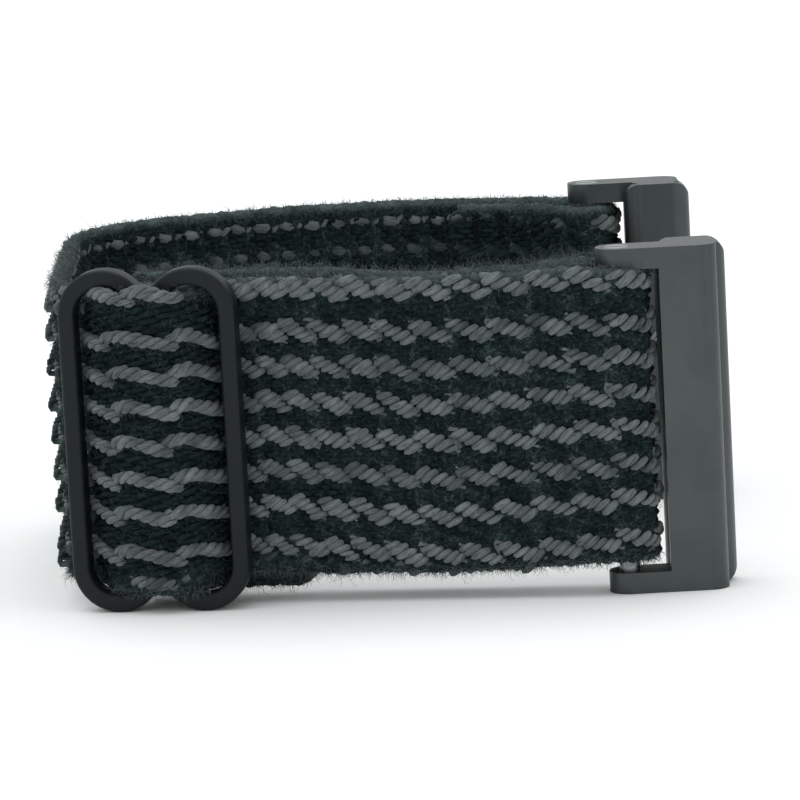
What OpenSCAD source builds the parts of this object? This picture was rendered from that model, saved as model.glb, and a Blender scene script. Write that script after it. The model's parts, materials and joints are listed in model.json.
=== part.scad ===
// Elastic woven watch strap, closed into a loop and standing on its edge.
// The band starts at the near adapter's cross bar, runs left through a two-slot
// slider buckle, turns round the left end and comes back to the far adapter.
// +X points to the watch end, +Y goes away from the buckle side, +Z is up
// across the band's width. All sizes are millimetres.

/* [Band] */
// Width of the woven band
band_w = 22.8; // [20:0.1:23]
// Thickness of the woven band
band_t = 1.8; // [1.4:0.1:2]
// Thickness of a sewn-down tail, pressed flatter than the band
tail_t = 1.2; // [0.8:0.1:1.4]

/* [Loop] */
// Distance between the two cross bars
bar_gap = 40; // [36:0.5:46]
// Distance from the cross bars to the middle of the band at the left end
reach = 42.7; // [40:0.1:60]
// Angle at which the buckle side runs inwards to the left
near_slope = 10; // [4:1:12]
// Radius of the left corner at the buckle side, at the band's middle
left_r = 4.5; // [3:0.5:6]
// Radius of the left corner at the far side, at the band's middle
far_r = 7; // [5:0.5:9]
// Radius of the far side's bow, at the band's middle
bow_r = 40; // [38:1:44]
// Angle at which the far side rises out of its corner
far_lift = 18; // [12:1:22]
// Angle at which the far side comes down to its cross bar
far_fall = 29; // [24:1:32]

/* [Buckle] */
// Distance along the buckle side from the near cross bar to the buckle
buckle_at = 35.4; // [32:0.1:36]
// Room between the band's edge and the end of a slot
slot_room = 0.5; // [0.4:0.05:1]
// Size of the rounding along the frame's edges
frame_edge = 0.3; // [0.1:0.05:0.4]
// Half the distance between the buckle's two lobes
lobe_x = 3.35; // [3.2:0.05:3.6]
// Outside radius of each lobe
lobe_r = 3.5; // [3.4:0.05:3.7]
// Radius at the end of each slot
slot_r = 2.2; // [2:0.05:2.3]
// Radius of the dip between two lobes
dip_r = 1.2; // [0.8:0.1:2]
// Thickness of the buckle's frame
frame_t = 2.1; // [1.8:0.1:2.6]
// Thickness of the bar between the two slots
mid_bar_t = 0.8; // [0.6:0.1:1]
// Thickness of the band where it is wrapped round the middle bar
sleeve_t = 0.6; // [0.4:0.05:0.8]
// Thickness of the stretched band where it crosses the buckle
cross_t = 1.5; // [1.2:0.1:1.8]
// Length of the sewn tail beside the buckle
buckle_tail = 10; // [6:0.5:12]

/* [Adapters] */
// Diameter of each cross bar
bar_d = 1.6; // [1.2:0.1:2]
// Thickness of an adapter's arm, across the band
arm_t = 1.6; // [1.4:0.1:2]
// Width of the rail that slides into the watch
rail_w = 5.4; // [4.6:0.1:6]
// Thickness of the rail
rail_t = 2.8; // [2.4:0.1:3.2]
// Distance from the cross bar to the middle of the rail, towards the watch
rail_dx = 5.6; // [5.4:0.1:6.4]
// Distance from the cross bar to the middle of the rail, inwards
rail_dy = 2.2; // [2:0.1:2.8]
// Radius of the arm's round end about the cross bar
arm_r = 1.6; // [1.5:0.1:1.9]
// Length of the sewn tail at the far adapter
far_tail = 12; // [8:0.5:14]

/* [Catch] */
// Diameter of the catch stud's tip
stud_d = 1.5; // [1.2:0.1:1.6]
// How far the catch stud stands out of the rail, and its travel
stud_out = 0.6; // [0.4:0.05:0.7]
// Diameter of the bore for the catch
catch_bore = 2.2; // [2.1:0.05:2.4]
// Depth of the bore for the catch
catch_depth = 3.4; // [3.2:0.1:3.8]
// Distance of each grip pad from the catch
pad_at = 7; // [5:0.5:9]
// Diameter of a grip pad
pad_d = 1.8; // [1.4:0.1:2.2]

/* [Fits] */
// Gap between a cross bar and the band folded round it
fold_fit = 0.05; // [0.04:0.01:0.1]
// Gap between the moving buckle and the band behind it
slide_gap = 0.2; // [0.15:0.05:0.3]
// Gap between two layers of band that lie together
layer_gap = 0.25; // [0.15:0.05:0.3]
// Gap round a piece that is fitted into a bore
seat_fit = 0.02; // [0.01:0.01:0.04]
// Gap between the band's edge and the arms
edge_gap = 0.2; // [0.1:0.05:0.3]

/* [Hidden] */
$fn = 64;

// Colours as photographed
band_grey = [0.2, 0.23, 0.24];
buckle_black = [0.13, 0.15, 0.16];
metal_grey = [0.66, 0.68, 0.69];
steel_grey = [0.75, 0.76, 0.77];
thread_black = [0.07, 0.08, 0.08];
pad_black = [0.1, 0.1, 0.1];

function dir(a) = [cos(a), sin(a)];

// Heights
lobe_z = band_w / 2 + slot_room - slot_r;
buckle_h = 2 * (lobe_z + lobe_r);
insert_l = band_w + 2 * (edge_gap + arm_t);
mid_z = max(buckle_h, insert_l) / 2;
band_z = mid_z - band_w / 2;
insert_z = mid_z - insert_l / 2;

// The band's middle line: a run from the near bar, two corners with a straight
// left end between them, then a straight lift and a bow down to the far bar
wrap_r = bar_d / 2 + fold_fit + band_t / 2;
near_bar_at = [0, -bar_gap / 2];
far_bar_at = [0, bar_gap / 2];
near_head = 180 - near_slope;
near_start = near_bar_at + wrap_r * dir(near_head + 90);
left_cx = -reach + left_r;
near_len = (left_cx + left_r * cos(near_head + 90) - near_start[0]) / cos(near_head);
near_end = near_start + near_len * dir(near_head);
left_c = near_end - left_r * dir(near_head + 90);
bow_end = far_bar_at + wrap_r * dir(90 - far_fall);
bow_c = bow_end - bow_r * dir(90 - far_fall);
bow_start = bow_c + bow_r * dir(90 + far_lift);
far_cx = -reach + far_r;
lift_len = (bow_start[0] - far_cx - far_r * cos(90 + far_lift)) / cos(far_lift);
lift_start = bow_start - lift_len * dir(far_lift);
far_c = lift_start - far_r * dir(90 + far_lift);

// Middle of the whole object, so that its box is centred
rail_end_x = rail_dx + rail_w / 2;
mid_x = (rail_end_x - reach - band_t / 2) / 2;
low_y = near_bar_at[1] - wrap_r - band_t / 2;
high_y = bow_c[1] + bow_r + band_t / 2;
mid_y = (low_y + high_y) / 2;

// Layers at the buckle, measured outwards from the near run's middle
frame_back = band_t / 2 + slide_gap;
frame_front = frame_back + frame_t;
sleeve_fit = 0.03;
pressed_gap = 2 * sleeve_fit;
mid_bar_back = frame_back + sleeve_t + pressed_gap;
mid_bar_front = mid_bar_back + mid_bar_t;
sleeve_front = mid_bar_front + sleeve_fit + sleeve_t;
tail_lead = 1.6;
tail_out = -band_t / 2 - layer_gap;
inner_out = tail_out - tail_t - pressed_gap;
inner_mid = inner_out - band_t / 2;
mid_bar_w = 2 * (lobe_x - slot_r);
sleeve_w = mid_bar_w + 2 * (sleeve_t + sleeve_fit);
slot_end = lobe_x + slot_r;
slot_square = 1.2;
slot_top = lobe_z + slot_square;
slot_fit = 0.3;
edge_steps = 3;
sleeve_h = 2 * (slot_top - slot_fit);
recess_w = sleeve_w + 0.2;
cross_foot = slot_end - slot_fit;
cross_in = lobe_x + 0.25;
cross_h = 2 * (lobe_z + sqrt(pow(slot_r, 2) - pow(cross_foot - lobe_x, 2)) - slot_fit / 2);
cross_base = frame_back - 0.05;
cross_under = sleeve_front + 0.15;
cross_front = sleeve_front + sleeve_fit + cross_t;
over_fullness = 2.4;
under_fullness = 4;
tail_start = buckle_at - sleeve_w / 2 - buckle_tail;
inner_start = tail_start - tail_lead;
inner_stop = buckle_at + sleeve_w / 2;

// Adapter, about its cross bar
plate_gap = 0.4;
plate_x = wrap_r + band_t / 2 + plate_gap;
plate_t = 1.4;
rail_lip = 0.8;
neck_w = rail_w - 2 * rail_lip;
rail_round = 1.3;
body_round = 1.4;
screw_web = 0.3;
screw_head_d = 2;
screw_head_t = 0.5;
screw_d = 0.8;
screw_grip = 1.5;
screw_l = screw_web + screw_grip;
bar_inset = screw_head_t + screw_web;
bar_l = insert_l - 2 * (bar_inset + seat_fit);
screw_slot = 0.3;
catch_y = rail_dy + rail_t / 2;
sleeve_len = 0.8;
flange_t = 0.5;
flange_d = catch_bore - 4 * seat_fit;
stud_dome_r = 0.625 * stud_d;
spring_side = 0.1;
pad_out = 0.15;
pad_l = 1;
wire_d = 0.26;
coil_turns = 4;
coil_steps = 10;
coil_sides = 6;

// Thread
thread_h = 0.3;
thread_w = 0.5;
tack_l = 2.4;
tack_pitch = 2.2;
tack_edge = 1.4;
tack_count = 6;

// Puts a piece into the finished frame
module place() {
    translate([-mid_x, -mid_y, 0]) children();
}

// Near side's own frame: x runs left along the near side from the near bar's
// level, y points outwards, z up
module near_side() {
    place() translate([near_start[0], near_start[1], 0]) rotate(near_head) children();
}

// The same frame, moved along to the middle of the buckle
module at_buckle() {
    near_side() translate([buckle_at, 0, mid_z]) children();
}

// Lifts a plan outline to the band's full width
module band() {
    translate([0, 0, band_z]) linear_extrude(band_w) children();
}

// Straight stretch of band in plan
module straight(start, heading, length, thick) {
    translate(start) rotate(heading) translate([0, -thick / 2]) square([length, thick]);
}

// Curved stretch of band in plan, less than half a turn
module curve(centre, radius, from, to, thick) {
    far = 2 * (radius + thick);
    translate(centre) intersection() {
        difference() {
            circle(radius + thick / 2, $fn = 128);
            circle(radius - thick / 2, $fn = 128);
        }
        polygon([[0, 0], far * dir(from), far * dir((from + to) / 2), far * dir(to)]);
    }
}

// Half a turn of band round a cross bar, open towards the heading
module fold(centre, heading) {
    translate(centre) rotate(heading) intersection() {
        difference() {
            circle(wrap_r + band_t / 2);
            circle(wrap_r - band_t / 2);
        }
        translate([-2 * wrap_r - band_t, -2 * wrap_r - band_t])
            square([2 * wrap_r + band_t, 4 * wrap_r + 2 * band_t]);
    }
}

module strap_near_run() {
    color(band_grey) place() band() straight(near_start, near_head, near_len, band_t);
}

module strap_near_bend() {
    color(band_grey) place() band() fold(near_bar_at, near_head);
}

module strap_left_corner() {
    color(band_grey) place() band() curve(left_c, left_r, near_head - 270, -180, band_t);
}

module strap_left_end() {
    start = left_c - [left_r, 0];
    color(band_grey) place() band() straight(start, 90, far_c[1] - start[1], band_t);
}

module strap_far_corner() {
    color(band_grey) place() band() curve(far_c, far_r, 90 + far_lift, 180, band_t);
}

module strap_far_run() {
    color(band_grey) place() band() {
        straight(lift_start, far_lift, lift_len + 0.01, band_t);
        curve(bow_c, bow_r, 90 - far_fall, 90 + far_lift, band_t);
    }
}

module strap_far_bend() {
    color(band_grey) place() band() fold(far_bar_at, 180 - far_fall);
}

// How far the far tail's middle lies inside the band's middle, at a distance
// back from the bar: it eases from the fold's width to face the band
tail_ease = 5;
function tail_in(d) =
    let (near = band_t / 2 + layer_gap + tail_t / 2, wide = 2 * wrap_r, k = min(1, d / tail_ease))
    wide + (near - wide) * k * k * (3 - 2 * k);
// Tail's thickness eases down from the band's to the pressed one
function tail_thick(d) = band_t + (tail_t - band_t) * min(1, d / tail_ease);
function bow_angle(d) = d / bow_r * 180 / PI - far_fall;
function bow_point(d, inwards) = bow_c + (bow_r - inwards) * dir(90 + bow_angle(d));

module strap_far_tail() {
    steps = 16;
    outer = [for (i = [0:steps]) let (d = far_tail * i / steps)
        bow_point(d, tail_in(d) - tail_thick(d) / 2)];
    inner = [for (i = [steps:-1:0]) let (d = far_tail * i / steps)
        bow_point(d, tail_in(d) + tail_thick(d) / 2)];
    color(band_grey) place() band() polygon(concat(outer, inner));
}

// Rows of bar tacks that hold a tail: rows follow x, the tacks of a row go up z
module tacks(rows) {
    space = band_w / tack_count;
    for (r = [0:rows - 1])
        for (i = [0:tack_count - 1])
            translate([r * tack_pitch, -thread_h / 2, (i + 0.5) * space - tack_l / 2])
                cube([thread_w, thread_h, tack_l]);
}

module far_stitches() {
    color(thread_black) place() for (r = [0:1]) {
        d = far_tail - tack_edge - r * tack_pitch;
        p = bow_point(d, tail_in(d) + tail_thick(d) / 2 + thread_h / 2 + seat_fit);
        translate([p[0], p[1], band_z]) rotate(bow_angle(d)) tacks(1);
    }
}

// Inner layer between the near bar and the sewn end, which gathers up when the
// buckle slides towards the bar
module strap_inner_run() {
    steps = 12;
    function level(k) = -2 * wrap_r + (inner_mid + 2 * wrap_r) * k * k * (3 - 2 * k);
    top = [for (i = [0:steps]) [inner_start * i / steps, level(i / steps) + band_t / 2]];
    low = [for (i = [steps:-1:0]) [inner_start * i / steps, level(i / steps) - band_t / 2]];
    color(band_grey) near_side() band() polygon(concat(top, low));
}

// End of the inner layer, which is fixed to the buckle
module strap_inner_end() {
    color(band_grey) near_side() band() {
        translate([inner_start, inner_mid - band_t / 2])
            square([inner_stop - inner_start - band_t / 2, band_t]);
        translate([inner_stop - band_t / 2, inner_mid]) circle(band_t / 2);
    }
}

module strap_sewn_tail() {
    color(band_grey) near_side() band()
        translate([tail_start, tail_out - tail_t]) square([inner_stop - tail_start, tail_t]);
}

// Rectangle with round corners, centred
module round_rect(w, h, r) {
    square([w - 2 * r, h], center = true);
    square([w, h - 2 * r], center = true);
    for (x = [-1, 1])
        for (y = [-1, 1])
            translate([x * (w / 2 - r), y * (h / 2 - r)]) circle(r);
}

module strap_bar_sleeve() {
    depth = mid_bar_t + 2 * (sleeve_t + sleeve_fit);
    color(band_grey) at_buckle()
        translate([0, (mid_bar_back + mid_bar_front) / 2, -sleeve_h / 2])
            linear_extrude(sleeve_h) difference() {
                round_rect(sleeve_w, depth, sleeve_t);
                square([mid_bar_w + 2 * sleeve_fit, mid_bar_t + 2 * sleeve_fit], center = true);
            }
}

// Level of the crossing band's face at a distance from the buckle's middle:
// a hump that meets the run behind it at the foot, with a power for its fullness
function hump(x, foot, top, full, ease) =
    cross_base + (top - cross_base) * pow(max(0, 1 - pow(abs(x) / foot, full)), ease);

module crossing() {
    steps = 20;
    over = [for (i = [-steps:steps]) let (x = cross_foot * i / steps)
        [x, hump(x, cross_foot, cross_front, over_fullness, 1)]];
    under = [for (i = [steps:-1:-steps]) let (x = cross_in * sin(90 * i / steps))
        [x, hump(x, cross_in, cross_under, under_fullness, 0.5)]];
    polygon(concat(over, under));
}

module strap_crossover() {
    wide_from = frame_front + slide_gap;
    color(band_grey) at_buckle() {
        translate([0, 0, -cross_h / 2]) linear_extrude(cross_h) crossing();
        translate([0, 0, -band_w / 2]) linear_extrude(band_w) intersection() {
            crossing();
            translate([-cross_foot, wide_from]) square([2 * cross_foot, cross_t + frame_t]);
        }
    }
}

module buckle_stitches() {
    color(thread_black) near_side()
        translate([tail_start + tack_edge, inner_mid - band_t / 2 - thread_h / 2 - seat_fit, band_z])
            tacks(2);
}

// Two joined lobes at each end with a dip between them, and two slots
module buckle_outline(inset) {
    dip_z = lobe_z + sqrt(pow(lobe_r + dip_r, 2) - pow(lobe_x, 2));
    touch = lobe_r / (lobe_r + dip_r);
    touch_x = lobe_x * (1 - touch);
    touch_z = lobe_z + (dip_z - lobe_z) * touch;
    difference() {
        union() {
            square([2 * (lobe_x + lobe_r - inset), 2 * lobe_z], center = true);
            for (x = [-1, 1])
                for (z = [-1, 1])
                    translate([x * lobe_x, z * lobe_z]) circle(lobe_r - inset);
            for (z = [-1, 1])
                polygon([[-lobe_x, z * lobe_z], [-touch_x, z * touch_z], [0, z * dip_z],
                    [touch_x, z * touch_z], [lobe_x, z * lobe_z]]);
        }
        for (z = [-1, 1])
            translate([0, z * dip_z]) circle(dip_r + inset);
        for (x = [-1, 1]) {
            for (z = [-1, 1])
                translate([x * lobe_x, z * lobe_z]) circle(slot_r + inset);
            translate([x * lobe_x, 0]) square([2 * (slot_r + inset), 2 * lobe_z], center = true);
            translate([x * (lobe_x - (slot_r + inset) / 2), 0])
                square([slot_r + inset, 2 * slot_top], center = true);
        }
    }
}

module buckle_frame() {
    color(buckle_black) at_buckle() difference() {
        translate([0, frame_front, 0]) rotate([90, 0, 0])
            for (i = [0:edge_steps]) {
                low = frame_edge * (1 - sin(90 * i / edge_steps));
                inset = frame_edge * (1 - cos(90 * i / edge_steps));
                translate([0, 0, low]) linear_extrude(frame_t - 2 * low) buckle_outline(inset);
            }
        for (side = [[frame_back - 1, mid_bar_back], [mid_bar_front, frame_front + 1]])
            translate([-recess_w / 2, side[0], -slot_top])
                cube([recess_w, side[1] - side[0], 2 * slot_top]);
    }
}

// Puts an adapter piece at its cross bar. Its own x points to the watch, its y
// inwards, its z up
module near_adapter() {
    place() translate([near_bar_at[0], near_bar_at[1], insert_z]) children();
}

module far_adapter() {
    place() translate([far_bar_at[0], far_bar_at[1], insert_z]) mirror([0, 1, 0]) children();
}

module rail_outline() {
    round = rail_t / 2;
    translate([rail_dx - rail_w / 2 + round, rail_dy - rail_t / 2]) square([rail_w - rail_t, rail_t]);
    for (x = [-1, 1])
        translate([rail_dx + x * (rail_w / 2 - round), rail_dy]) circle(round);
}

// Neck of the rail and the plate that carries the arms, round at the far corner
module body_outline() {
    right = rail_dx + neck_w / 2;
    translate([rail_dx - neck_w / 2, -arm_r]) square([neck_w - body_round, rail_dy + arm_r]);
    translate([right - neck_w, -arm_r + body_round]) square([neck_w, rail_dy + arm_r - body_round]);
    translate([right - body_round, -arm_r + body_round]) circle(body_round);
    translate([plate_x, -arm_r]) square([rail_dx - plate_x, plate_t]);
}

module insert() {
    difference() {
        union() {
            intersection() {
                linear_extrude(insert_l) rail_outline();
                translate([rail_dx, rail_dy + rail_t, insert_l / 2]) rotate([90, 0, 0])
                    linear_extrude(2 * rail_t) round_rect(rail_w, insert_l, rail_round);
            }
            linear_extrude(insert_l) body_outline();
            for (z = [0, insert_l - arm_t])
                translate([0, 0, z]) {
                    cylinder(h = arm_t, r = arm_r);
                    translate([0, -arm_r, 0]) cube([rail_dx, 2 * arm_r, arm_t]);
                }
        }
        translate([0, 0, bar_inset]) cylinder(h = insert_l - 2 * bar_inset, d = bar_d + 2 * seat_fit);
        translate([0, 0, -1]) cylinder(h = insert_l + 2, d = screw_d + 2 * seat_fit);
        for (z = [-1, insert_l - screw_head_t - seat_fit])
            translate([0, 0, z]) cylinder(h = screw_head_t + seat_fit + 1, d = screw_head_d + 2 * seat_fit);
        translate([rail_dx, catch_y - catch_depth, insert_l / 2]) rotate([-90, 0, 0])
            cylinder(h = catch_depth + 1, d = catch_bore);
        for (z = [-1, 1])
            translate([rail_dx, catch_y - pad_l, insert_l / 2 + z * pad_at]) rotate([-90, 0, 0])
                cylinder(h = pad_l + 1, d = pad_d);
    }
}

module bar() {
    translate([0, 0, (insert_l - bar_l) / 2]) difference() {
        cylinder(h = bar_l, d = bar_d);
        for (z = [-1, bar_l - screw_l])
            translate([0, 0, z]) cylinder(h = screw_l + 1, d = screw_d + 2 * seat_fit);
    }
}

module bar_screw() {
    difference() {
        union() {
            cylinder(h = screw_head_t, d = screw_head_d);
            cylinder(h = screw_head_t + screw_l, d = screw_d);
        }
        translate([-screw_head_d, -screw_slot / 2, -1])
            cube([2 * screw_head_d, screw_slot, 1 + screw_head_t / 2]);
    }
}

module bar_screws() {
    bar_screw();
    translate([0, 0, insert_l]) mirror([0, 0, 1]) bar_screw();
}

// Catch pieces lie along the adapter's y, with their own z pointing inwards
module at_catch() {
    translate([rail_dx, catch_y, insert_l / 2]) rotate([-90, 0, 0]) children();
}

module catch_stud() {
    flange_z = -sleeve_len - flange_t - seat_fit;
    at_catch() {
        intersection() {
            translate([0, 0, stud_out - stud_dome_r]) sphere(r = stud_dome_r);
            cylinder(h = stud_out + 1, d = stud_d);
        }
        translate([0, 0, flange_z]) cylinder(h = stud_out / 4 - flange_z, d = stud_d);
        translate([0, 0, flange_z]) cylinder(h = flange_t, d = flange_d);
    }
}

module catch_sleeve() {
    at_catch() translate([0, 0, -sleeve_len]) difference() {
        cylinder(h = sleeve_len, d = catch_bore - seat_fit);
        translate([0, 0, -1]) cylinder(h = sleeve_len + 2, d = stud_d + 3 * seat_fit);
    }
}

// Coil of round wire: points round each turn's section, rings along the helix
module coil(length, outer_r) {
    wire_r = wire_d / 2;
    mid_r = outer_r - wire_r;
    rings = coil_turns * coil_steps;
    climb = length - wire_d;
    points = [for (i = [0:rings]) for (j = [0:coil_sides - 1])
        let (a = 360 * i / coil_steps, b = 360 * j / coil_sides, r = mid_r + wire_r * cos(b))
        [r * cos(a), r * sin(a), wire_r + climb * i / rings + wire_r * sin(b)]];
    sides = [for (i = [0:rings - 1]) for (j = [0:coil_sides - 1])
        let (k = (j + 1) % coil_sides, p = i * coil_sides, q = p + coil_sides)
        [p + j, p + k, q + k, q + j]];
    ends = [[for (j = [coil_sides - 1:-1:0]) j], [for (j = [0:coil_sides - 1]) rings * coil_sides + j]];
    polyhedron(points, concat(sides, ends));
}

module catch_spring() {
    room = catch_depth - sleeve_len - flange_t - seat_fit;
    at_catch() translate([0, 0, seat_fit - catch_depth])
        coil(room - 2 * seat_fit, catch_bore / 2 - spring_side);
}

module grip_pads() {
    for (z = [-1, 1])
        translate([rail_dx, catch_y, insert_l / 2 + z * pad_at]) rotate([-90, 0, 0]) {
            translate([0, 0, -pad_l]) cylinder(h = pad_l, d = pad_d - 2 * seat_fit);
            cylinder(h = pad_out, d1 = pad_d - 2 * seat_fit, d2 = pad_d - 4 * pad_out);
        }
}

module near_insert() { color(metal_grey) near_adapter() insert(); }
module near_bar() { color(steel_grey) near_adapter() bar(); }
module near_bar_screws() { color(steel_grey) near_adapter() bar_screws(); }
module near_catch() { color(steel_grey) near_adapter() catch_stud(); }
module near_catch_spring() { color(steel_grey) near_adapter() catch_spring(); }
module near_catch_sleeve() { color(steel_grey) near_adapter() catch_sleeve(); }
module near_grip_pads() { color(pad_black) near_adapter() grip_pads(); }
module far_insert() { color(metal_grey) far_adapter() insert(); }
module far_bar() { color(steel_grey) far_adapter() bar(); }
module far_bar_screws() { color(steel_grey) far_adapter() bar_screws(); }
module far_catch() { color(steel_grey) far_adapter() catch_stud(); }
module far_catch_spring() { color(steel_grey) far_adapter() catch_spring(); }
module far_catch_sleeve() { color(steel_grey) far_adapter() catch_sleeve(); }
module far_grip_pads() { color(pad_black) far_adapter() grip_pads(); }

strap_near_run();
strap_near_bend();
strap_left_corner();
strap_left_end();
strap_far_corner();
strap_far_run();
strap_far_bend();
strap_far_tail();
far_stitches();
strap_inner_run();
strap_inner_end();
strap_sewn_tail();
strap_bar_sleeve();
strap_crossover();
buckle_stitches();
buckle_frame();
near_insert();
near_bar();
near_bar_screws();
near_catch();
near_catch_spring();
near_catch_sleeve();
near_grip_pads();
far_insert();
far_bar();
far_bar_screws();
far_catch();
far_catch_spring();
far_catch_sleeve();
far_grip_pads();
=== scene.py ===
"""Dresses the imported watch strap: woven cords, fuzz, stitches, buckle and adapters.

The band is a line in plan, the route, with three numbers for any point on it: s, the
distance along the route, v, the height over the band's middle, and w, the distance out
of the middle of the layer. Every cord, hair and face of the band is worked out in those
three numbers and then placed in the frame.
"""

import json
import math
from dataclasses import dataclass, replace

import bpy
import numpy as np
from mathutils import Matrix, Vector


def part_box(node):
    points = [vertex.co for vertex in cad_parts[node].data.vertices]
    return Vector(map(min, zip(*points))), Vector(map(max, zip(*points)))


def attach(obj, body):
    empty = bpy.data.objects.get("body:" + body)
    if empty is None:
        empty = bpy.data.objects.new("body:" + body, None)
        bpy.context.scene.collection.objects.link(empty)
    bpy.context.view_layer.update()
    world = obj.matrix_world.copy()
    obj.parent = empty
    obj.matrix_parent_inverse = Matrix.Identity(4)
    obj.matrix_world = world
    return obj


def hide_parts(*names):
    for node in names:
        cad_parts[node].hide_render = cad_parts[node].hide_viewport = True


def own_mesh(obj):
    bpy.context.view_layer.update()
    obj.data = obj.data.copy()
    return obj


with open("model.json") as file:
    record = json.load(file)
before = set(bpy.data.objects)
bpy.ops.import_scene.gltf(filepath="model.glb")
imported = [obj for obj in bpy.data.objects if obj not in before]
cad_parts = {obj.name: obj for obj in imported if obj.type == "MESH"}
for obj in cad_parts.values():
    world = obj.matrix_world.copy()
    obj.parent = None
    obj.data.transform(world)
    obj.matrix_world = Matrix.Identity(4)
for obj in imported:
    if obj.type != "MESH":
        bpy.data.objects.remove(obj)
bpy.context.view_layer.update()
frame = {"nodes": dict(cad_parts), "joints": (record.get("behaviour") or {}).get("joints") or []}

bl_info = {
    "name": "Woven watch strap",
    "version": (1, 0, 0),
    "blender": (4, 5, 0),
    "location": "3D View > Sidebar > Strap",
    "description": "Builds the woven band, its buckle and its adapters on the fixed frame",
    "category": "Object",
}

MM = 0.001


def centre_of(node):
    """Middle of a node's box."""
    low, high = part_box(node)
    return (np.array(low) + np.array(high)) / 2


def direction(degrees):
    """Unit vector in plan at an angle from +X."""
    turn = np.radians(degrees)
    return np.stack([np.cos(turn), np.sin(turn)], -1)


# The frame's own sizes
LEFT_LOW, LEFT_HIGH = (np.array(c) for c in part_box("strap_left_end"))
NEAR_BAR = centre_of("near_bar")[:2]
FAR_BAR = centre_of("far_bar")[:2]
BAND_T = LEFT_HIGH[0] - LEFT_LOW[0]
BAND_W = LEFT_HIGH[2] - LEFT_LOW[2]
BAND_MID_Z = (LEFT_HIGH[2] + LEFT_LOW[2]) / 2
LEFT_X = (LEFT_LOW[0] + LEFT_HIGH[0]) / 2
WRAP_RADIUS = NEAR_BAR[1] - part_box("strap_near_bend")[0].y - BAND_T / 2
SLIDE_AXIS = np.array(next(j["axis"] for j in frame["joints"] if j["name"] == "buckle_slide"))
NEAR_HEADING = 180 + math.degrees(math.atan2(SLIDE_AXIS[1], SLIDE_AXIS[0]))
NEAR_START = NEAR_BAR + WRAP_RADIUS * direction(NEAR_HEADING + 90)


def near_reach(node):
    """Lowest and highest distance of a node along the near side, then out of it."""
    mesh = frame["nodes"][node].data
    points = np.empty(len(mesh.vertices) * 3)
    mesh.vertices.foreach_get("co", points)
    plan = points.reshape(-1, 3)[:, :2] - NEAR_START
    along = plan @ direction(NEAR_HEADING)
    out = plan @ direction(NEAR_HEADING + 90)
    return along.min(), along.max(), out.min(), out.max()


BUCKLE_LOW, BUCKLE_HIGH, FRAME_BACK, FRAME_FRONT = near_reach("buckle_frame")
BUCKLE_AT = (BUCKLE_LOW + BUCKLE_HIGH) / 2
CROSS_LOW, CROSS_HIGH, CROSS_BASE, CROSS_FRONT = near_reach("strap_crossover")
CROSS_FOOT = (CROSS_HIGH - CROSS_LOW) / 2
TAIL_LOW, TAIL_HIGH, TAIL_IN, TAIL_OUT = near_reach("strap_sewn_tail")
INNER_LOW, INNER_HIGH, INNER_IN, INNER_OUT = near_reach("strap_inner_end")
SLEEVE_LOW, SLEEVE_HIGH, SLEEVE_IN, SLEEVE_OUT = near_reach("strap_bar_sleeve")

# The route's samples, and the lower edge's strip that a hem draws up
ROUTE_STEP = 0.1 * MM
HEM_FROM = 9.3 * MM
HEM_WIDTH = 2.1 * MM

# The far tail eases in over a length to lie on the run, and is pressed thinner there
TAIL_EASE = 5 * MM
TAIL_T = TAIL_OUT - TAIL_IN
TAIL_FACING = TAIL_T / 2 - TAIL_OUT

# Stations from the near run's start on. The edges wave gently up and down and lie higher
# far off, the rows spread and the lower edge is drawn up near the near bar, and the
# cords are pressed flatter round the left end
RISE_AT = np.array([0.0, 3.0, 9.0, 15.0, 21.0, 27.0, 36.0, 45.0, 72.0, 84.0, 116.0, 124.0]) * MM
RISE = np.array([0.35, 0.2, -0.15, -0.25, 0.15, 0.5, 0.4, 0.0, 0.0, 0.35, 0.3, 0.0]) * MM
SPREAD_AT = np.array([0.0, 3.0, 14.0, 26.0]) * MM
SPREAD = np.array([1.0, 1.04, 1.04, 1.0])
HEM = np.array([0.4, 0.95, 0.95, 0.0]) * MM
PRESS_AT = np.array([38.0, 44.0, 74.0, 80.0]) * MM
PRESS = np.array([1.0, 0.62, 0.62, 1.0])
INNER_RISE_AT = np.array([0.0, 3.0, 8.0, 15.0, 24.0, 45.0]) * MM
INNER_RISE = np.array([0.5, 0.9, 0.4, 0.1, 0.7, 0.8]) * MM

# The weave: heights of the light rows over the band's middle, how far they lie off on the
# wrist's side, the length of one zigzag at stations along the loop, and the dark cords'
# room between two light rows
LIGHT_ROWS = np.array([10.65, 7.4, 4.71, 2.02, -0.67, -3.36, -6.05, -9.1, -10.5]) * MM
TOP_ROW, LOW_ROW = 0, 8
BACK_DROP = np.array([-0.9, 0, 0, 0, 0, 0, 0, 0, 0.3]) * MM
UNIT_AT = np.array([0.0, 8.0, 19.0, 25.0, 31.0, 44.0, 78.0, 92.0]) * MM
UNIT_LENGTH = np.array([3.0, 3.05, 2.95, 2.5, 2.2, 2.15, 2.2, 2.15]) * MM
DARK_ROOM = 1.16 * MM
DARK_SPACING = 0.78 * MM
OUTSIDE, WRIST_SIDE = 1, -1

# How a cord's plies twist, press, thin out, sink, wander and vary
DARK_TWIST = 1.5
PLY_PRESS = 1.04
CORD_SIDES = 6
THIN_POWER = 6
DIM_SINK = 0.55 * MM
WANDER_PLACE = 0.05
WANDER_RISE = 0.12
WANDER_UP = 0.06 * MM
WANDER_OUT = 0.04 * MM
UNEVEN_LENGTHS = (2.3 * MM, 3.1 * MM)
UNEVEN_TURN = 0.45
UNEVEN_REACH = 0.1
UNEVEN_SIZE = 0.1
UNEVEN_TONE = 0.07
PLY_TONE = 0.12
WAVE_TONE = 0.1

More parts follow.
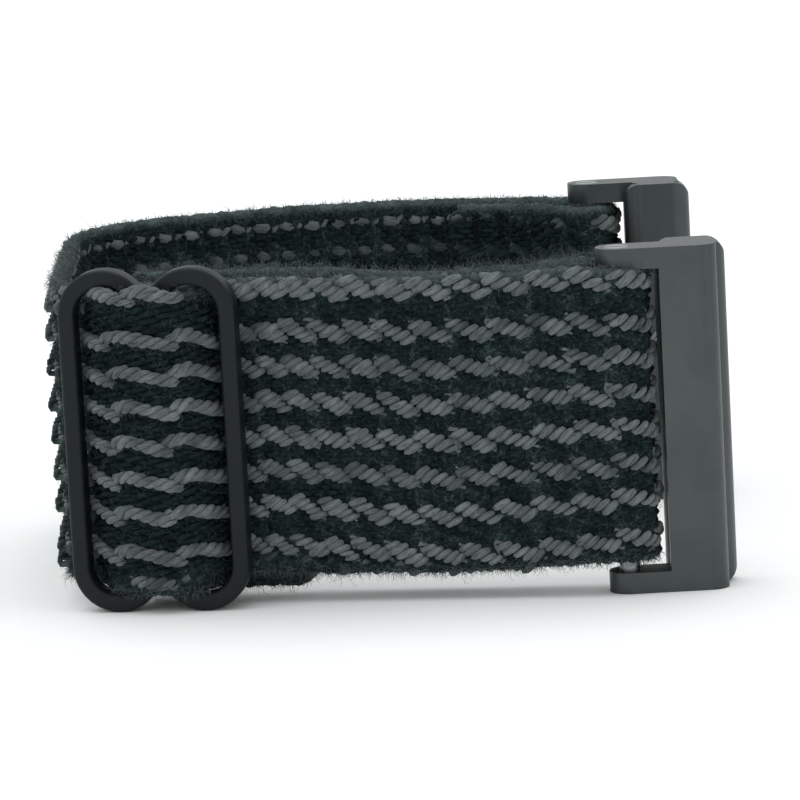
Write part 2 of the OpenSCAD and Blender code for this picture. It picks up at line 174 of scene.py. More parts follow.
# Tones run from 0, dim, to 1, and a cord has its own colour at the middle. The low tones
# are painted shade: the wrist's side is painted dim for the shade inside the loop, its top
# rows less so where light from above reaches them, the lowest row outside is painted dim
# for the shade along the lower edge, and the far tail's cords are painted darker still for
# the shadow cast near the far bar
OWN_TONE = 0.5
LOW_ROW_SHADE_TONE = 0.12
TAIL_SHADOW_TONE = 0.02
TONE_FADE = 2 * MM
BACK_SHADE_TONES = (0.33, 0.2, 0.12, 0.12, 0.12, 0.12, 0.12, 0.12, 0.05)
FAR_DROP = (np.array([76.0, 82.0]) * MM, np.array([0.0, 0.75]) * MM)

# Ends of the woven stretches, how far the inner layer's zigzag lies on in the table
# above, rings of faces in a light row's turn or a dark cord's zigzag, and pieces of dark
# cords
LOOP_ENDS = (0.4 * MM, 0.3 * MM)
INNER_END = 0.4 * MM
BACK_MARGIN = 1 * MM
INNER_OFFSET = 8 * MM
ROW_RINGS = 9
DARK_RINGS = 12
DARK_BACK_RINGS = 9
INNER_RINGS = (7, 8)
DARK_GROUPS = 4
INNER_SWELL = 0.1 * MM

# The felted ground: its rings, grain and rim, and the waves that its noise is made of
GROUND_STEP = 0.3 * MM
GROUND_NOISE = 0.09 * MM
GROUND_GRAINS = (1.1 * MM, 0.45 * MM)
RIM = 0.74 * MM
RIM_WIDTH = 1.3 * MM
RIM_GAP = 0.01 * MM
FACE_POINTS = 60
EDGE_POINTS = 9
ROUND_LEAST = 0.02
SEWN_CORNER = 2.2 * MM
SEWN_SPREAD = 0.08
WAVES = 7
WAVE_SPREAD = (0.7, 1.6)
WAVE_GAIN = 1.6

# Loose fibres: density to a square millimetre of face and a millimetre of edge, length
# beside the usual one, spread of lengths, and how far they stand up
HAIR_POINTS = 4
HAIR_SIDES = 3
HAIR_LIMIT = 2.2 * MM
HAIR_CURL = (0.3 * MM, 1.1 * MM)
HAIR_DRIFT = 0.35
HAIR_TAPER = 0.7
FACE_ROOT = 1.2
FACE_SPREAD = 0.45
FACE_LIFT = (0.1, 0.9)
EDGE_TURN = 1.35
EDGE_LENGTH = 0.75
EDGE_SPREAD = 0.4
EDGE_LIFT = (0.2, 1.4)
NEAR_FUZZ = {"face": 1.7, "edge": 60, "longer": 1.0}
FAR_FUZZ = {"face": 1.1, "edge": 38, "longer": 0.6}
INNER_FUZZ = 50
SEWN_FUZZ = 36
CROSS_FUZZ = {"face": 3, "edge": 30}

# The stretched band over the buckle
CROSS_FULLNESS = 2.4
CROSS_UNDER = 0.95 * MM
CROSS_HALF = 0.45 * MM
CROSS_SQUEEZE = 0.03
CROSS_SQUEEZE_FROM = 0.4
CROSS_HEM = -0.4 * MM
CROSS_UNIT = 4.35 * MM
CROSS_PHASE = 0.35
CROSS_TOP_PHASE = 0.32
CROSS_SHIFT = np.array([0.6, 0.4, 0.35, 0.4, 0.4, 0.4, 0.4, 0.35, 0.0]) * MM
CROSS_TWIST = 2.4
TOP_SPAN = (-3.2 * MM, 3.8 * MM)
DASH_SPAN = (-3 * MM, 3.2 * MM)
SLEEVE_HALF = 0.25 * MM
SLEEVE_SQUARE = 6

# Bar tacks
TACK_COUNT = 6
TACK_LENGTH = 2.4 * MM
TACK_WIDTH = 0.5 * MM
TACK_PITCH = 2.2 * MM
TACK_EDGE = 1.65 * MM
TACK_PASSES = 16
TACK_RINGS = 4
TACK_ARCH = 0.12 * MM
TACK_SINK = 0.05 * MM
TACK_THREAD = 0.075 * MM
TACK_SIDES = 5

# The buckle's middle bar, and the softened edges of the adapters
BAR_T = 0.8 * MM
BAR_FLARE = 1.2 * MM
BAR_SINK = 0.6 * MM
BAR_INSET = 0.1 * MM
BAR_ROUND = 0.18
BAR_RINGS = 8
LOBE_POINTS = 40
SIDE_POINTS = 24
INSERT_EDGE = 0.18 * MM
EDGE_SEGMENTS = 3
SHARP = math.radians(35)
WELD = 0.002 * MM

# Textures: where a noise's ramp starts and ends, and how strongly fibres show on felt
NOISE_LOW, NOISE_HIGH = 0.3, 0.7
WHITE = (1, 1, 1)
FIBRE_STRETCH = (6.5, 0.9, 1)
FIBRE_SLANT = (0, 0, 0.12)
# Tint that the lowest tones take: the colour of the painted shade on dim cords
SHADE_TINT = (0.12, 0.2, 0.2)
FELT_SCALES = (1700, 3100)
FELT_STRENGTH = 0.25
# How pale the ground's upper edge is painted: painted light from above
TOP_EDGE_LIGHT = 0.54

# The stage
FLOOR_Z = -0.02 * MM
FLOOR_RADIUS = 4.0
FLOOR_SIDES = 96
FLOOR_TONES = ((0.95, 0.96, 0.96), (0.97, 0.98, 0.98))
LIGHT_FROM = (-0.2, 0.12, 0.95)
LIGHT_ANGLE = math.radians(60)
SURROUND_TINT = (0.97, 1.0, 1.0, 1)
SEEN_WHITE = 1.05
CAMERA_CLIP = (0.01, 20)


def size_of(name, description, default):
    """A length with its words in the panel."""
    return bpy.props.FloatProperty(
        name=name, description=description, default=default, unit="LENGTH", precision=6)


def angle_of(name, description, degrees):
    """An angle with its words in the panel."""
    return bpy.props.FloatProperty(
        name=name, description=description, default=math.radians(degrees), subtype="ANGLE")


def colour_of(name, description, default):
    """A colour with its words in the panel."""
    return bpy.props.FloatVectorProperty(
        name=name, description=description, default=default, subtype="COLOR", min=0, max=1)


class WeaveSettings(bpy.types.PropertyGroup):
    """Sizes of the yarns and of the zigzag that they are woven in."""

    light_yarn: size_of("Light cord", "Diameter of a light cord, all plies together", 1.14 * MM)
    dark_yarn: size_of("Dark cord", "Diameter of a dark cord between two light rows", 0.92 * MM)
    zigzag: size_of("Zigzag height", "Height of the zigzag to each side of its row", 0.6 * MM)
    twist: size_of("Twist length", "Length of one full turn of the plies", 1.0 * MM)
    ground: size_of("Ground thickness", "Half the thickness of the dark ground", 0.5 * MM)
    fuzz_length: size_of("Fuzz length", "Usual length of a loose fibre", 0.8 * MM)
    fuzz_width: size_of("Fuzz width", "Radius of a loose fibre at its root", 0.02 * MM)


class LoopSettings(bpy.types.PropertyGroup):
    """Curves of the loop in plan that the frame's boxes don't give."""

    left_radius: size_of("Left corner", "Radius of the left corner at the buckle side", 4.5 * MM)
    far_radius: size_of("Far corner", "Radius of the left corner at the far side", 7 * MM)
    bow_radius: size_of("Bow", "Radius of the far side's bow", 40 * MM)
    far_lift: angle_of("Far lift", "Angle at which the far side leaves its corner", 18)
    far_fall: angle_of("Far fall", "Angle at which the far side meets its bar", 29)
    far_tail: size_of("Far tail", "Length of the sewn tail at the far bar", 12 * MM)


class BuckleSettings(bpy.types.PropertyGroup):
    """Radii of the two-slot buckle."""

    lobe: size_of("Lobe", "Outside radius of each lobe", 3.5 * MM)
    slot: size_of("Slot", "Radius at the end of each slot", 2.2 * MM)
    dip: size_of("Dip", "Radius of the dip between two lobes", 1.2 * MM)
    edge: size_of("Edge", "Rounding of the frame's edges", 0.32 * MM)


class ColourSettings(bpy.types.PropertyGroup):
    """Base colours of the finishes."""

    light: colour_of("Light yarn", "Grey of the light zigzag rows", (0.114, 0.13, 0.129))
    dark: colour_of("Dark yarn", "Near black of the ground and the dark cords", (0.0108, 0.0187, 0.0196))
    # The edge fibres and the face fibres are one fibre: the lighter edge grey is painted light, the darker
    # face grey painted shade
    fuzz: colour_of("Fuzz", "Grey of the loose fibres", (0.092, 0.112, 0.112))
    face_fuzz: colour_of("Face fibres", "Dark grey of the fibres over the faces", (0.034, 0.046, 0.047))
    thread: colour_of("Thread", "Black of the sewing thread", (0.008, 0.01, 0.01))
    buckle: colour_of("Buckle", "Matt black coat of the buckle", (0.005, 0.0085, 0.0095))
    metal: colour_of("Adapter", "Fine blasted metal of the adapters", (0.08, 0.09, 0.09))
    steel: colour_of("Steel", "Turned steel of bars, screws and catches", (0.3, 0.31, 0.31))
    rubber: colour_of("Pads", "Rubber of the grip pads", (0.02, 0.02, 0.02))


class StudioSettings(bpy.types.PropertyGroup):
    """Camera as in the photograph, and the light."""

    camera_at: bpy.props.FloatVectorProperty(
        name="Camera", description="Place of the camera",
        default=(-3.23 * MM, -400 * MM, 78.38 * MM), subtype="TRANSLATION", precision=5)
    pitch: angle_of("Pitch", "Angle at which the camera looks down", 9.44)
    roll: angle_of("Roll", "Tilt of the camera about its own line of sight", 2.99)
    yaw: angle_of("Yaw", "Turn of the camera to the right", 0.615)
    lens: bpy.props.FloatProperty(
        name="Lens", description="Focal length in millimetres on a 36 mm sensor", default=227.9)
    surround: bpy.props.FloatProperty(
        name="Surround", description="Strength of the even white surround", default=0.9)
    overhead: bpy.props.FloatProperty(
        name="Overhead", description="Strength of the soft light from above", default=1.0)


def smooth(share):
    """Eases from 0 to 1 with level ends."""
    return share * share * (3 - 2 * share)


def line(start, heading, length, count=200):
    """Points along a straight stretch in plan."""
    return start + np.linspace(0, length, count)[:, None] * direction(heading)


def arc(centre, radius, first, last, count=240):
    """Points along an arc in plan, from one angle in degrees to another."""
    return centre + radius * direction(np.linspace(first, last, count))


def eased(values, stations, levels):
    """Levels between stations, eased from each to the next with level ends."""
    place = np.interp(values, stations, np.arange(len(stations)))
    whole = np.minimum(place.astype(int), len(stations) - 2)
    return levels[whole] + (levels[whole + 1] - levels[whole]) * smooth(place - whole)


class Route:
    """The middle line of a layer of band in plan.

    It is kept as close samples at even steps, so a distance along it picks a point by
    interpolation. Its normal is the way of travel turned a quarter to the left. half is
    the layer's half thickness, squeeze a scale for heights, press a scale for depths,
    rise a shift upwards and hem how far the lower edge is drawn up, all per sample.
    """

    def __init__(self, *stretches):
        raw = np.concatenate(stretches)
        step = np.linalg.norm(np.diff(raw, axis=0), axis=1)
        raw = raw[np.concatenate([[True], step > ROUTE_STEP / 100])]
        far = np.concatenate([[0], np.cumsum(np.linalg.norm(np.diff(raw, axis=0), axis=1))])
        self.length = far[-1]
        self.s = np.linspace(0, self.length, int(self.length / ROUTE_STEP) + 2)
        self.xy = np.stack([np.interp(self.s, far, raw[:, i]) for i in (0, 1)], -1)
        way = np.gradient(self.xy, self.s, axis=0)
        way /= np.linalg.norm(way, axis=1)[:, None]
        self.normal = np.stack([-way[:, 1], way[:, 0]], -1)
        self.half = np.full_like(self.s, BAND_T / 2)
        self.squeeze = np.ones_like(self.s)
        self.press = np.ones_like(self.s)
        self.rise = np.zeros_like(self.s)
        self.hem = np.zeros_like(self.s)

    def place(self, s, v, w):
        """The point at a distance along, a height over the middle and a way out."""
        kept = (*self.xy.T, *self.normal.T, self.squeeze, self.press, self.rise, self.hem)
        x, y, nx, ny, squeeze, press, rise, hem = (np.interp(s, self.s, values) for values in kept)
        w = w * press
        drawn = hem * smooth(np.clip((-v - HEM_FROM) / HEM_WIDTH, 0, 1))
        up = BAND_MID_Z + v * squeeze + rise + drawn
        return np.stack(np.broadcast_arrays(x + nx * w, y + ny * w, up), -1)

    def outward(self, s):
        """The normal as a unit vector at distances along the route."""
        x, y = (np.interp(s, self.s, values) for values in self.normal.T)
        return np.stack([x, y, np.zeros_like(x)], -1)


def loop_route(context):
    """The outer layer: round the near bar, the near run, the left end, the far run,
    round the far bar and back along the far tail, which eases in to face the run."""
    loop = context.scene.strap_loop
    lift, fall = math.degrees(loop.far_lift), math.degrees(loop.far_fall)
    side = direction(NEAR_HEADING + 90)
    corner_x = LEFT_X + loop.left_radius
    near_length = (corner_x + loop.left_radius * side[0] - NEAR_START[0]) / direction(NEAR_HEADING)[0]
    corner = NEAR_START + near_length * direction(NEAR_HEADING) - loop.left_radius * side
    bow_end = FAR_BAR + WRAP_RADIUS * direction(90 - fall)
    bow = bow_end - loop.bow_radius * direction(90 - fall)
    bow_start = bow + loop.bow_radius * direction(90 + lift)
    far_x = LEFT_X + loop.far_radius
    rise = (bow_start[0] - far_x - loop.far_radius * direction(90 + lift)[0]) / direction(lift)[0]
    rise_start = bow_start - rise * direction(lift)
    far_corner = rise_start - loop.far_radius * direction(90 + lift)
    back = np.linspace(0, loop.far_tail, 120)
    ease = smooth(np.minimum(1, back / TAIL_EASE))
    inwards = 2 * WRAP_RADIUS + (TAIL_FACING - 2 * WRAP_RADIUS) * ease
    tail = bow + (loop.bow_radius - inwards)[:, None] * direction(
        90 - fall + np.degrees(back / loop.bow_radius))
    route = Route(
        arc(NEAR_BAR, WRAP_RADIUS, NEAR_HEADING - 90, NEAR_HEADING - 270),
        line(NEAR_START, NEAR_HEADING, near_length),
        arc(corner, loop.left_radius, NEAR_HEADING + 90, 180),
        line(np.array([LEFT_X, corner[1]]), 90, far_corner[1] - corner[1]),
        arc(far_corner, loop.far_radius, 180, 90 + lift),
        line(rise_start, lift, rise),
        arc(bow, loop.bow_radius, 90 + lift, 90 - fall),
        arc(FAR_BAR, WRAP_RADIUS, 90 - fall, -90 - fall),
        tail,
    )
    route.tail_at = route.length - loop.far_tail
    gone = np.clip((route.s - route.tail_at) / TAIL_EASE, 0, 1)
    route.half = BAND_T / 2 + (TAIL_T - BAND_T) / 2 * gone
    past = route.s - math.pi * WRAP_RADIUS
    route.rise = eased(past, RISE_AT, RISE)
    route.squeeze = eased(past, SPREAD_AT, SPREAD)
    route.hem = eased(past, SPREAD_AT, HEM)
    route.press = eased(past, PRESS_AT, PRESS)
    return route


def near_plan(along, out):
    """Points in plan from distances along the near side and out of it."""
    return (NEAR_START + np.asarray(along)[..., None] * direction(NEAR_HEADING)
            + np.asarray(out)[..., None] * direction(NEAR_HEADING + 90))


def inner_route():
    """The inner layer from the near bar to its sewn end, in an S bend in plan."""
    middle = (INNER_IN + INNER_OUT) / 2
    along = np.linspace(0, INNER_HIGH, 400)
    share = smooth(np.clip(along / INNER_LOW, 0, 1))
    out = -2 * WRAP_RADIUS + (middle + 2 * WRAP_RADIUS) * share
    route = Route(near_plan(along, out))
    route.rise = eased(route.s, INNER_RISE_AT, INNER_RISE)
    return route


def crossing_route():
    """The stretched band over the buckle: a hump whose height falls off with a power
    of the distance from the buckle's middle, squeezed where it enters the slots."""
    across = np.linspace(-CROSS_FOOT, CROSS_FOOT, 400)
    share = np.abs(across) / CROSS_FOOT
    top = CROSS_BASE + (CROSS_FRONT - CROSS_BASE) * (1 - share**CROSS_FULLNESS)
    route = Route(near_plan(BUCKLE_AT + across, top - CROSS_UNDER))
    share = np.abs(np.linspace(-1, 1, len(route.s)))
    near_slot = np.clip((share - CROSS_SQUEEZE_FROM) / (1 - CROSS_SQUEEZE_FROM), 0, 1)
    route.half = np.full_like(route.s, CROSS_HALF)
    route.squeeze = 1 - CROSS_SQUEEZE * smooth(near_slot)
    route.hem = np.full_like(route.s, CROSS_HEM)
    return route


def grid_faces(rings, sides):
    """Quads between rings of points, each ring closed round its sides."""
    i, j = np.meshgrid(np.arange(rings - 1), np.arange(sides), indexing="ij")
    k = (j + 1) % sides
    rows = np.stack([i * sides + j, i * sides + k, (i + 1) * sides + k, (i + 1) * sides + j], -1)
    return rows.reshape(-1, 4)


def end_caps(rings, sides):
    """The first ring and the last one, each as one face that points outwards."""
    return np.stack([np.arange(sides)[::-1], np.arange(sides) + (rings - 1) * sides])


def make_piece(name, points, faces, material, uvs=None, tone=None):
    """A smooth mesh object from whole arrays.

    faces is a list of arrays, one row of corner numbers per face, uvs a matching list of
    arrays with two numbers per corner, and tone one number per point.
    """
    points = points.reshape(-1, 3)
    corners = np.concatenate([f.ravel() for f in faces])
    sizes = np.concatenate([np.full(len(f), f.shape[1]) for f in faces])
    mesh = bpy.data.meshes.new(name)
    mesh.vertices.add(len(points))
    mesh.vertices.foreach_set("co", points.astype(np.float32).ravel())
    mesh.loops.add(len(corners))
    mesh.loops.foreach_set("vertex_index", corners.astype(np.int32))
    mesh.polygons.add(len(sizes))
    mesh.polygons.foreach_set("loop_start", (np.cumsum(sizes) - sizes).astype(np.int32))
    mesh.update(calc_edges=True)
    mesh.shade_smooth()
    if uvs:
        layer = mesh.uv_layers.new(name="yarn")
        flat = np.concatenate([u.reshape(-1, 2) for u in uvs])
        layer.data.foreach_set("uv", flat.astype(np.float32).ravel())
    if tone is not None:
        level = mesh.attributes.new("tone", "FLOAT", "POINT")
        level.data.foreach_set("value", np.asarray(tone, np.float32).ravel())
    mesh.materials.append(material)
    piece = bpy.data.objects.new(name, mesh)
    bpy.context.scene.collection.objects.link(piece)
    return piece


def unit(vectors):
    """Vectors at length one."""
    return vectors / np.maximum(np.linalg.norm(vectors, axis=-1, keepdims=True), 1e-12)


def arc_length(points):
    """Distance along lines of points (line, point, 3)."""
    step = np.linalg.norm(np.diff(points, axis=1), axis=-1)
    return np.concatenate([np.zeros((len(points), 1)), np.cumsum(step, axis=1)], axis=1)


def tube_arrays(middles, outward, radius, sides):
    """Closed round tubes along lines of points (line, point, 3).

    Each ring lies square to its line: a point on it is the middle plus the radius times
    the cosine of its angle outward and the sine sideways. Two flat caps close a tube.
    Returns points, faces and uvs, with u round the tube and v in millimetres along it.
    """
    lines, count = middles.shape[:2]
    way = unit(np.gradient(middles, axis=1))
    side = unit(np.cross(way, outward))
    up = np.cross(side, way)
    angle = (np.arange(sides) / sides * 2 * np.pi)[None, None, :, None]
    ring = -np.cos(angle) * up[:, :, None] - np.sin(angle) * side[:, :, None]
    radius = np.broadcast_to(radius, (lines, count))[:, :, None, None]
    points = (middles[:, :, None] + radius * ring).reshape(-1, 3)
    starts = np.arange(lines)[:, None, None] * count * sides
    quads = (grid_faces(count, sides)[None] + starts).reshape(-1, 4)
    cap = np.arange(sides)[None] + starts[:, 0]
    caps = np.concatenate([cap[:, ::-1], cap + (count - 1) * sides])
    j = np.tile(np.arange(sides), count - 1)
    u = np.stack([j, j + 1, j + 1, j], -1) / sides
    u = np.broadcast_to(u, (lines, *u.shape))
    far = arc_length(middles) / MM
    low, high = (np.repeat(f, sides, axis=1) for f in (far[:, :-1], far[:, 1:]))
    v = np.stack([low, low, high, high], -1)
    uv = np.stack([u, v], -1).reshape(-1, 4, 2)
    return points, [quads, caps], [uv, np.zeros((len(caps), sides, 2))]


def joined(tubes):
    """Joins the arrays of several sets of tubes: points, faces and uvs."""
    points = [tube[0] for tube in tubes]
    starts = np.cumsum([0] + [len(part) for part in points])
    faces = [np.concatenate([tube[1][kind] + start for tube, start in zip(tubes, starts)])
             for kind in (0, 1)]
    uvs = [np.concatenate([tube[2][kind] for tube in tubes]) for kind in (0, 1)]
    return np.concatenate(points), faces, uvs


def units_along(route, offset=0.0):
    """Number of zigzags from the route's start, at each of its samples: the sum of the
    steps along it, each divided by the zigzag's length there."""
    rate = 1 / np.interp(route.s + offset, UNIT_AT, UNIT_LENGTH)
    steps = np.diff(route.s) * (rate[1:] + rate[:-1]) / 2
    return np.concatenate([[0], np.cumsum(steps)])


def steady(level):
    """Stations and levels of a level that stays the same."""
    return ((0, 1), (level, level))


@dataclass
class Spin:
    """How a cord is spun: the radius of a ply, how far its middle lies from the cord's
    own, how flat that circle is pressed, and how many plies. Loose plies turn once in a
    length. A tight winding makes whole turns in each leg, so that each shows as a slant,
    which lean draws out along the leg and taper thins towards its ends."""

    ply: float
    reach: float
    flat: float = 1.0
    plies: int = 1
    length: float = 0.0
    turns: int = 0
    lean: float = 0.0
    taper: float = 0.0


def plied(diameter, length, plies=2):
    """Plies of a cord of some diameter that touch in a ring, a little fat so that they
    press."""
    ply = PLY_PRESS * diameter / 2 / (1 + 1 / math.sin(math.pi / plies))
    return Spin(ply, diameter / 2 - ply, plies=plies, length=length)


@dataclass
class Zigzag:
    """Form of a cord's zigzag: how far the cord's middle lies over the ground, its height
    to each side, rings of faces in one zigzag, how it is spun, and how deep leg ends and
    returns dip into the ground. A greater power keeps more of a leg at its full level.
    Legs may overlap, take up a share of the zigzag and thin out at their ends. shape
    gives stations in a leg and the height there, from -1 to 1. tones are stations along
    the route and the tone there, and drops how far down the row is shifted."""

    over: float
    high: float = 0.6 * MM
    rings: int = 16
    spin: Spin = None
    leg_dip: float = 0.14 * MM
    return_dip: float = 0.5 * MM
    power: float = 4
    overlap: float = 0.0
    leg: float = 0.84
    thin: float = 0.2
    shape: tuple = ((0, 1), (-1, 1))
    tones: tuple = steady(OWN_TONE)
    drops: tuple = steady(0)


# Forms of the edge rows, the other light rows, the dark cords and the wrist's side, then
# of the dark, the light and the dashed cords over the buckle
EDGE_SPIN = Spin(ply=0.33 * MM, reach=0.46 * MM, flat=0.45, turns=4, lean=0.27 * MM, taper=0.22)
ROW_SPIN = Spin(ply=0.285 * MM, reach=0.43 * MM, flat=0.45, turns=5, lean=0.22 * MM, taper=0.28)
BACK_SPIN = Spin(ply=0.42 * MM, reach=0.03 * MM, length=2 * MM)
EDGE_FORM = Zigzag(over=0.06 * MM, spin=EDGE_SPIN, return_dip=1.1 * MM, leg=0.8)
ROW_FORM = Zigzag(over=0.11 * MM, spin=ROW_SPIN)
DARK_FORM = Zigzag(over=-0.17 * MM)
BACK_FORM = Zigzag(over=0.22 * MM, high=0.25 * MM, spin=BACK_SPIN, leg_dip=1.9 * MM,
                   return_dip=2 * MM, power=2)
CROSS_DARK_FORM = Zigzag(over=-0.18 * MM, high=0.5 * MM, rings=28, leg_dip=0.25 * MM,
                         return_dip=0.7 * MM, power=6, overlap=0.08, leg=0.82)
CROSS_FORM = replace(CROSS_DARK_FORM, over=0.06 * MM, rings=44, thin=0.38,
                     shape=((0, 0.7, 1), (-1, 1, 0.35)))
# The dashed lowest row over the buckle has a low tone: painted shade along the lower edge
DASH_FORM = Zigzag(over=0.06 * MM, high=0.2 * MM, rings=44, leg_dip=0.7 * MM,
                   return_dip=0.9 * MM, power=2, leg=0.82, tones=steady(0.3))


def row_form(weave, rings, edge=False, **facts):
    """Zigzag of a light row: tight windings, wider along the band's edges than
    elsewhere, with so many rings in each turn and in each return."""
    form = EDGE_FORM if edge else ROW_FORM
    return replace(form, high=weave.zigzag, rings=rings * (form.spin.turns + 1), **facts)


def dark_form(weave, rings):
    """Zigzag of a dark cord of two loose plies."""
    return replace(DARK_FORM, high=weave.zigzag, rings=rings,
                   spin=plied(weave.dark_yarn, DARK_TWIST * weave.twist))


def zigzag_lines(layer, side, span, heights, form, rng):
    """Middle lines of like cords, one for each height.

    One zigzag is a long leg that rises from one side of its row to the other, and a
    short steep return that dips into the ground. Every cord has its own slow wander in
    place, rise, height and depth. Returns the points, the way out of the layer, how thin
    the cord is, its turns so far and its tone.
    """
    route = layer.route
    first, last = np.interp(span, route.s, layer.units)
    u = np.linspace(first, last, int((last - first) * form.rings) + 2)
    whole = np.floor(u).astype(int)
    share = u - whole
    leg = np.clip(share / form.leg, 0, 1)
    back = np.clip((share - form.leg) / (1 - form.leg), 0, 1)
    on_leg = share < form.leg
    start, end = form.shape[1][0], form.shape[1][-1]
    rise = np.where(on_leg, np.interp(leg, *form.shape), end + (start - end) * smooth(back))
    over = form.overlap
    place = whole + np.where(on_leg, (1 + 2 * over) * leg - over, 1 + over - 2 * over * back)
    depth = np.where(on_leg, form.leg_dip * np.abs(2 * leg - 1) ** form.power,
                     form.leg_dip + (form.return_dip - form.leg_dip) * np.sin(np.pi * back))
    wander = rng.normal(0, 1, (4, len(heights), whole.max() - whole.min() + 2))
    near = wander[:, :, whole - whole.min()]
    next_one = wander[:, :, whole - whole.min() + 1]
    drift = near + (next_one - near) * smooth(share)
    s = np.interp(place[None] + WANDER_PLACE * drift[0], layer.units, route.s)
    swing = side * form.high * rise * (1 + WANDER_RISE * drift[1])
    v = heights[:, None] + swing + WANDER_UP * drift[2] - np.interp(s, *form.drops)
    tone = np.interp(s, *form.tones)
    sink = DIM_SINK * np.clip(1 - tone / OWN_TONE, 0, 1)
    w = side * (layer.half + form.over - depth - sink + WANDER_OUT * drift[3])
    thin = 1 - form.thin * np.where(on_leg, (2 * leg - 1) ** THIN_POWER, 1)
    thin = thin * np.interp(s, route.s, route.press)
    turned = whole * (form.spin.turns + 1) + form.spin.turns * leg + back
    return route.place(s, v, w), side * route.outward(s), thin, turned, tone


def spun_cords(lines, outward, thin, turned, tone, spin, rng):
    """Cords along lines: each ply follows a left-handed helix round its line, pressed
    flat towards the layer. Two slow sine waves make the turns and the reach uneven. A
    winding's rings take the line's own way as reference, so that they don't flip, and
    each of its turns has its own size and tone. Returns each ply's arrays and tones."""
    way = unit(np.gradient(lines, axis=1))
    side = unit(np.cross(way, outward))
    up = np.cross(side, way)
    far = arc_length(lines)
    start = rng.uniform(0, 2 * np.pi, (2, len(lines), 1))
    waves = [np.sin(2 * np.pi * far / length + phase) for length, phase in zip(UNEVEN_LENGTHS, start)]
    thin = thin * (1 + UNEVEN_REACH * waves[1])
    if spin.turns:
        turn = 2 * np.pi * turned[None] + np.pi + UNEVEN_TURN * waves[0]
        front = np.round(turn / (2 * np.pi)).astype(int)
        front -= front.min()
        each = rng.normal(0, 1, (2, len(lines), front.max() + 1))
        size, tint = np.take_along_axis(each, np.broadcast_to(front, (2, *front.shape)), 2)
        thin = thin * (1 + UNEVEN_SIZE * size)
        tone = tone + UNEVEN_TONE * tint
    else:
        turn = 2 * np.pi * far / spin.length + start[0]
    parts = []
    for k in range(spin.plies):
        phase = (turn + 2 * np.pi * k / spin.plies)[..., None]
        circle = spin.reach * (spin.flat * np.cos(phase) * up - np.sin(phase) * side)
        middles = lines + thin[..., None] * circle + spin.lean * np.sin(phase) * way
        radius = spin.ply * thin * (1 - spin.taper * (1 - np.maximum(np.cos(phase[..., 0]), 0)))
        arrays = tube_arrays(middles, way if spin.turns else outward, radius, CORD_SIDES)
        tones = tone + rng.uniform(-PLY_TONE, PLY_TONE, (len(lines), 1)) + WAVE_TONE * waves[0]
        parts.append((arrays, np.repeat(tones, CORD_SIDES)))
    return parts


def dark_heights(rows=LIGHT_ROWS):
    """Heights of the dark cords: as many as fit between two light rows, evenly."""
    heights = []
    for top, low in zip(rows[:-1], rows[1:]):
        free = top - low - DARK_ROOM
        count = max(1, round(free / DARK_SPACING))
        heights += [top - DARK_ROOM / 2 - free * (i + 0.5) / count for i in range(count)]
    return np.array(heights)


def ripple(points, size, seed):
    """Soft noise from -1 to 1: a mean of sine waves in seeded directions, with lengths
    about the given size."""
    rng = np.random.default_rng(seed)
    ways = unit(rng.normal(size=(WAVES, 3)))
    waves = ways * rng.uniform(*WAVE_SPREAD, (WAVES, 1)) * 2 * np.pi / size
    phase = rng.uniform(0, 2 * np.pi, WAVES)
    return np.sin(points @ waves.T + phase).mean(-1) * WAVE_GAIN


def hair_arrays(roots, outward, usual, spread, lifts, radius, rng):
    """Loose fibres: each leaves its root partly outward and partly in a seeded way, then
    curls in an arc of its own radius, drifts out of the arc's plane with the square of
    the distance, and gets thinner towards its tip. None reaches under the part."""
    count = len(roots)
    length = usual * rng.lognormal(0, spread, count)
    lift = rng.uniform(*lifts, count)
    start = unit(outward * lift[:, None] + unit(rng.normal(size=(count, 3))))
    across = unit(np.cross(start, rng.normal(size=(count, 3))))
    beside = np.cross(start, across)
    length = np.minimum(length, HAIR_LIMIT)[:, None]
    curl = rng.uniform(*HAIR_CURL, count)[:, None]
    share = np.linspace(0, 1, HAIR_POINTS)[None]
    angle = (share * (length / curl))[..., None]
    bent = curl[..., None] * (np.sin(angle) * start[:, None] + (1 - np.cos(angle)) * across[:, None])
    drift = (rng.uniform(0, HAIR_DRIFT, (count, 1)) * length * share**2)[..., None] * beside[:, None]
    middles = roots[:, None] + bent + drift
    middles[..., 2] = np.maximum(middles[..., 2], radius)
    reference = np.broadcast_to(beside[:, None], middles.shape)
    return tube_arrays(middles, reference, radius * (1 - HAIR_TAPER * share), HAIR_SIDES)


def grey(level):
    """A grey of the same level in each channel."""
    return (level, level, level)


def shade(colour, factor):
    """A colour, brighter or darker."""
    return tuple(channel * factor for channel in colour)


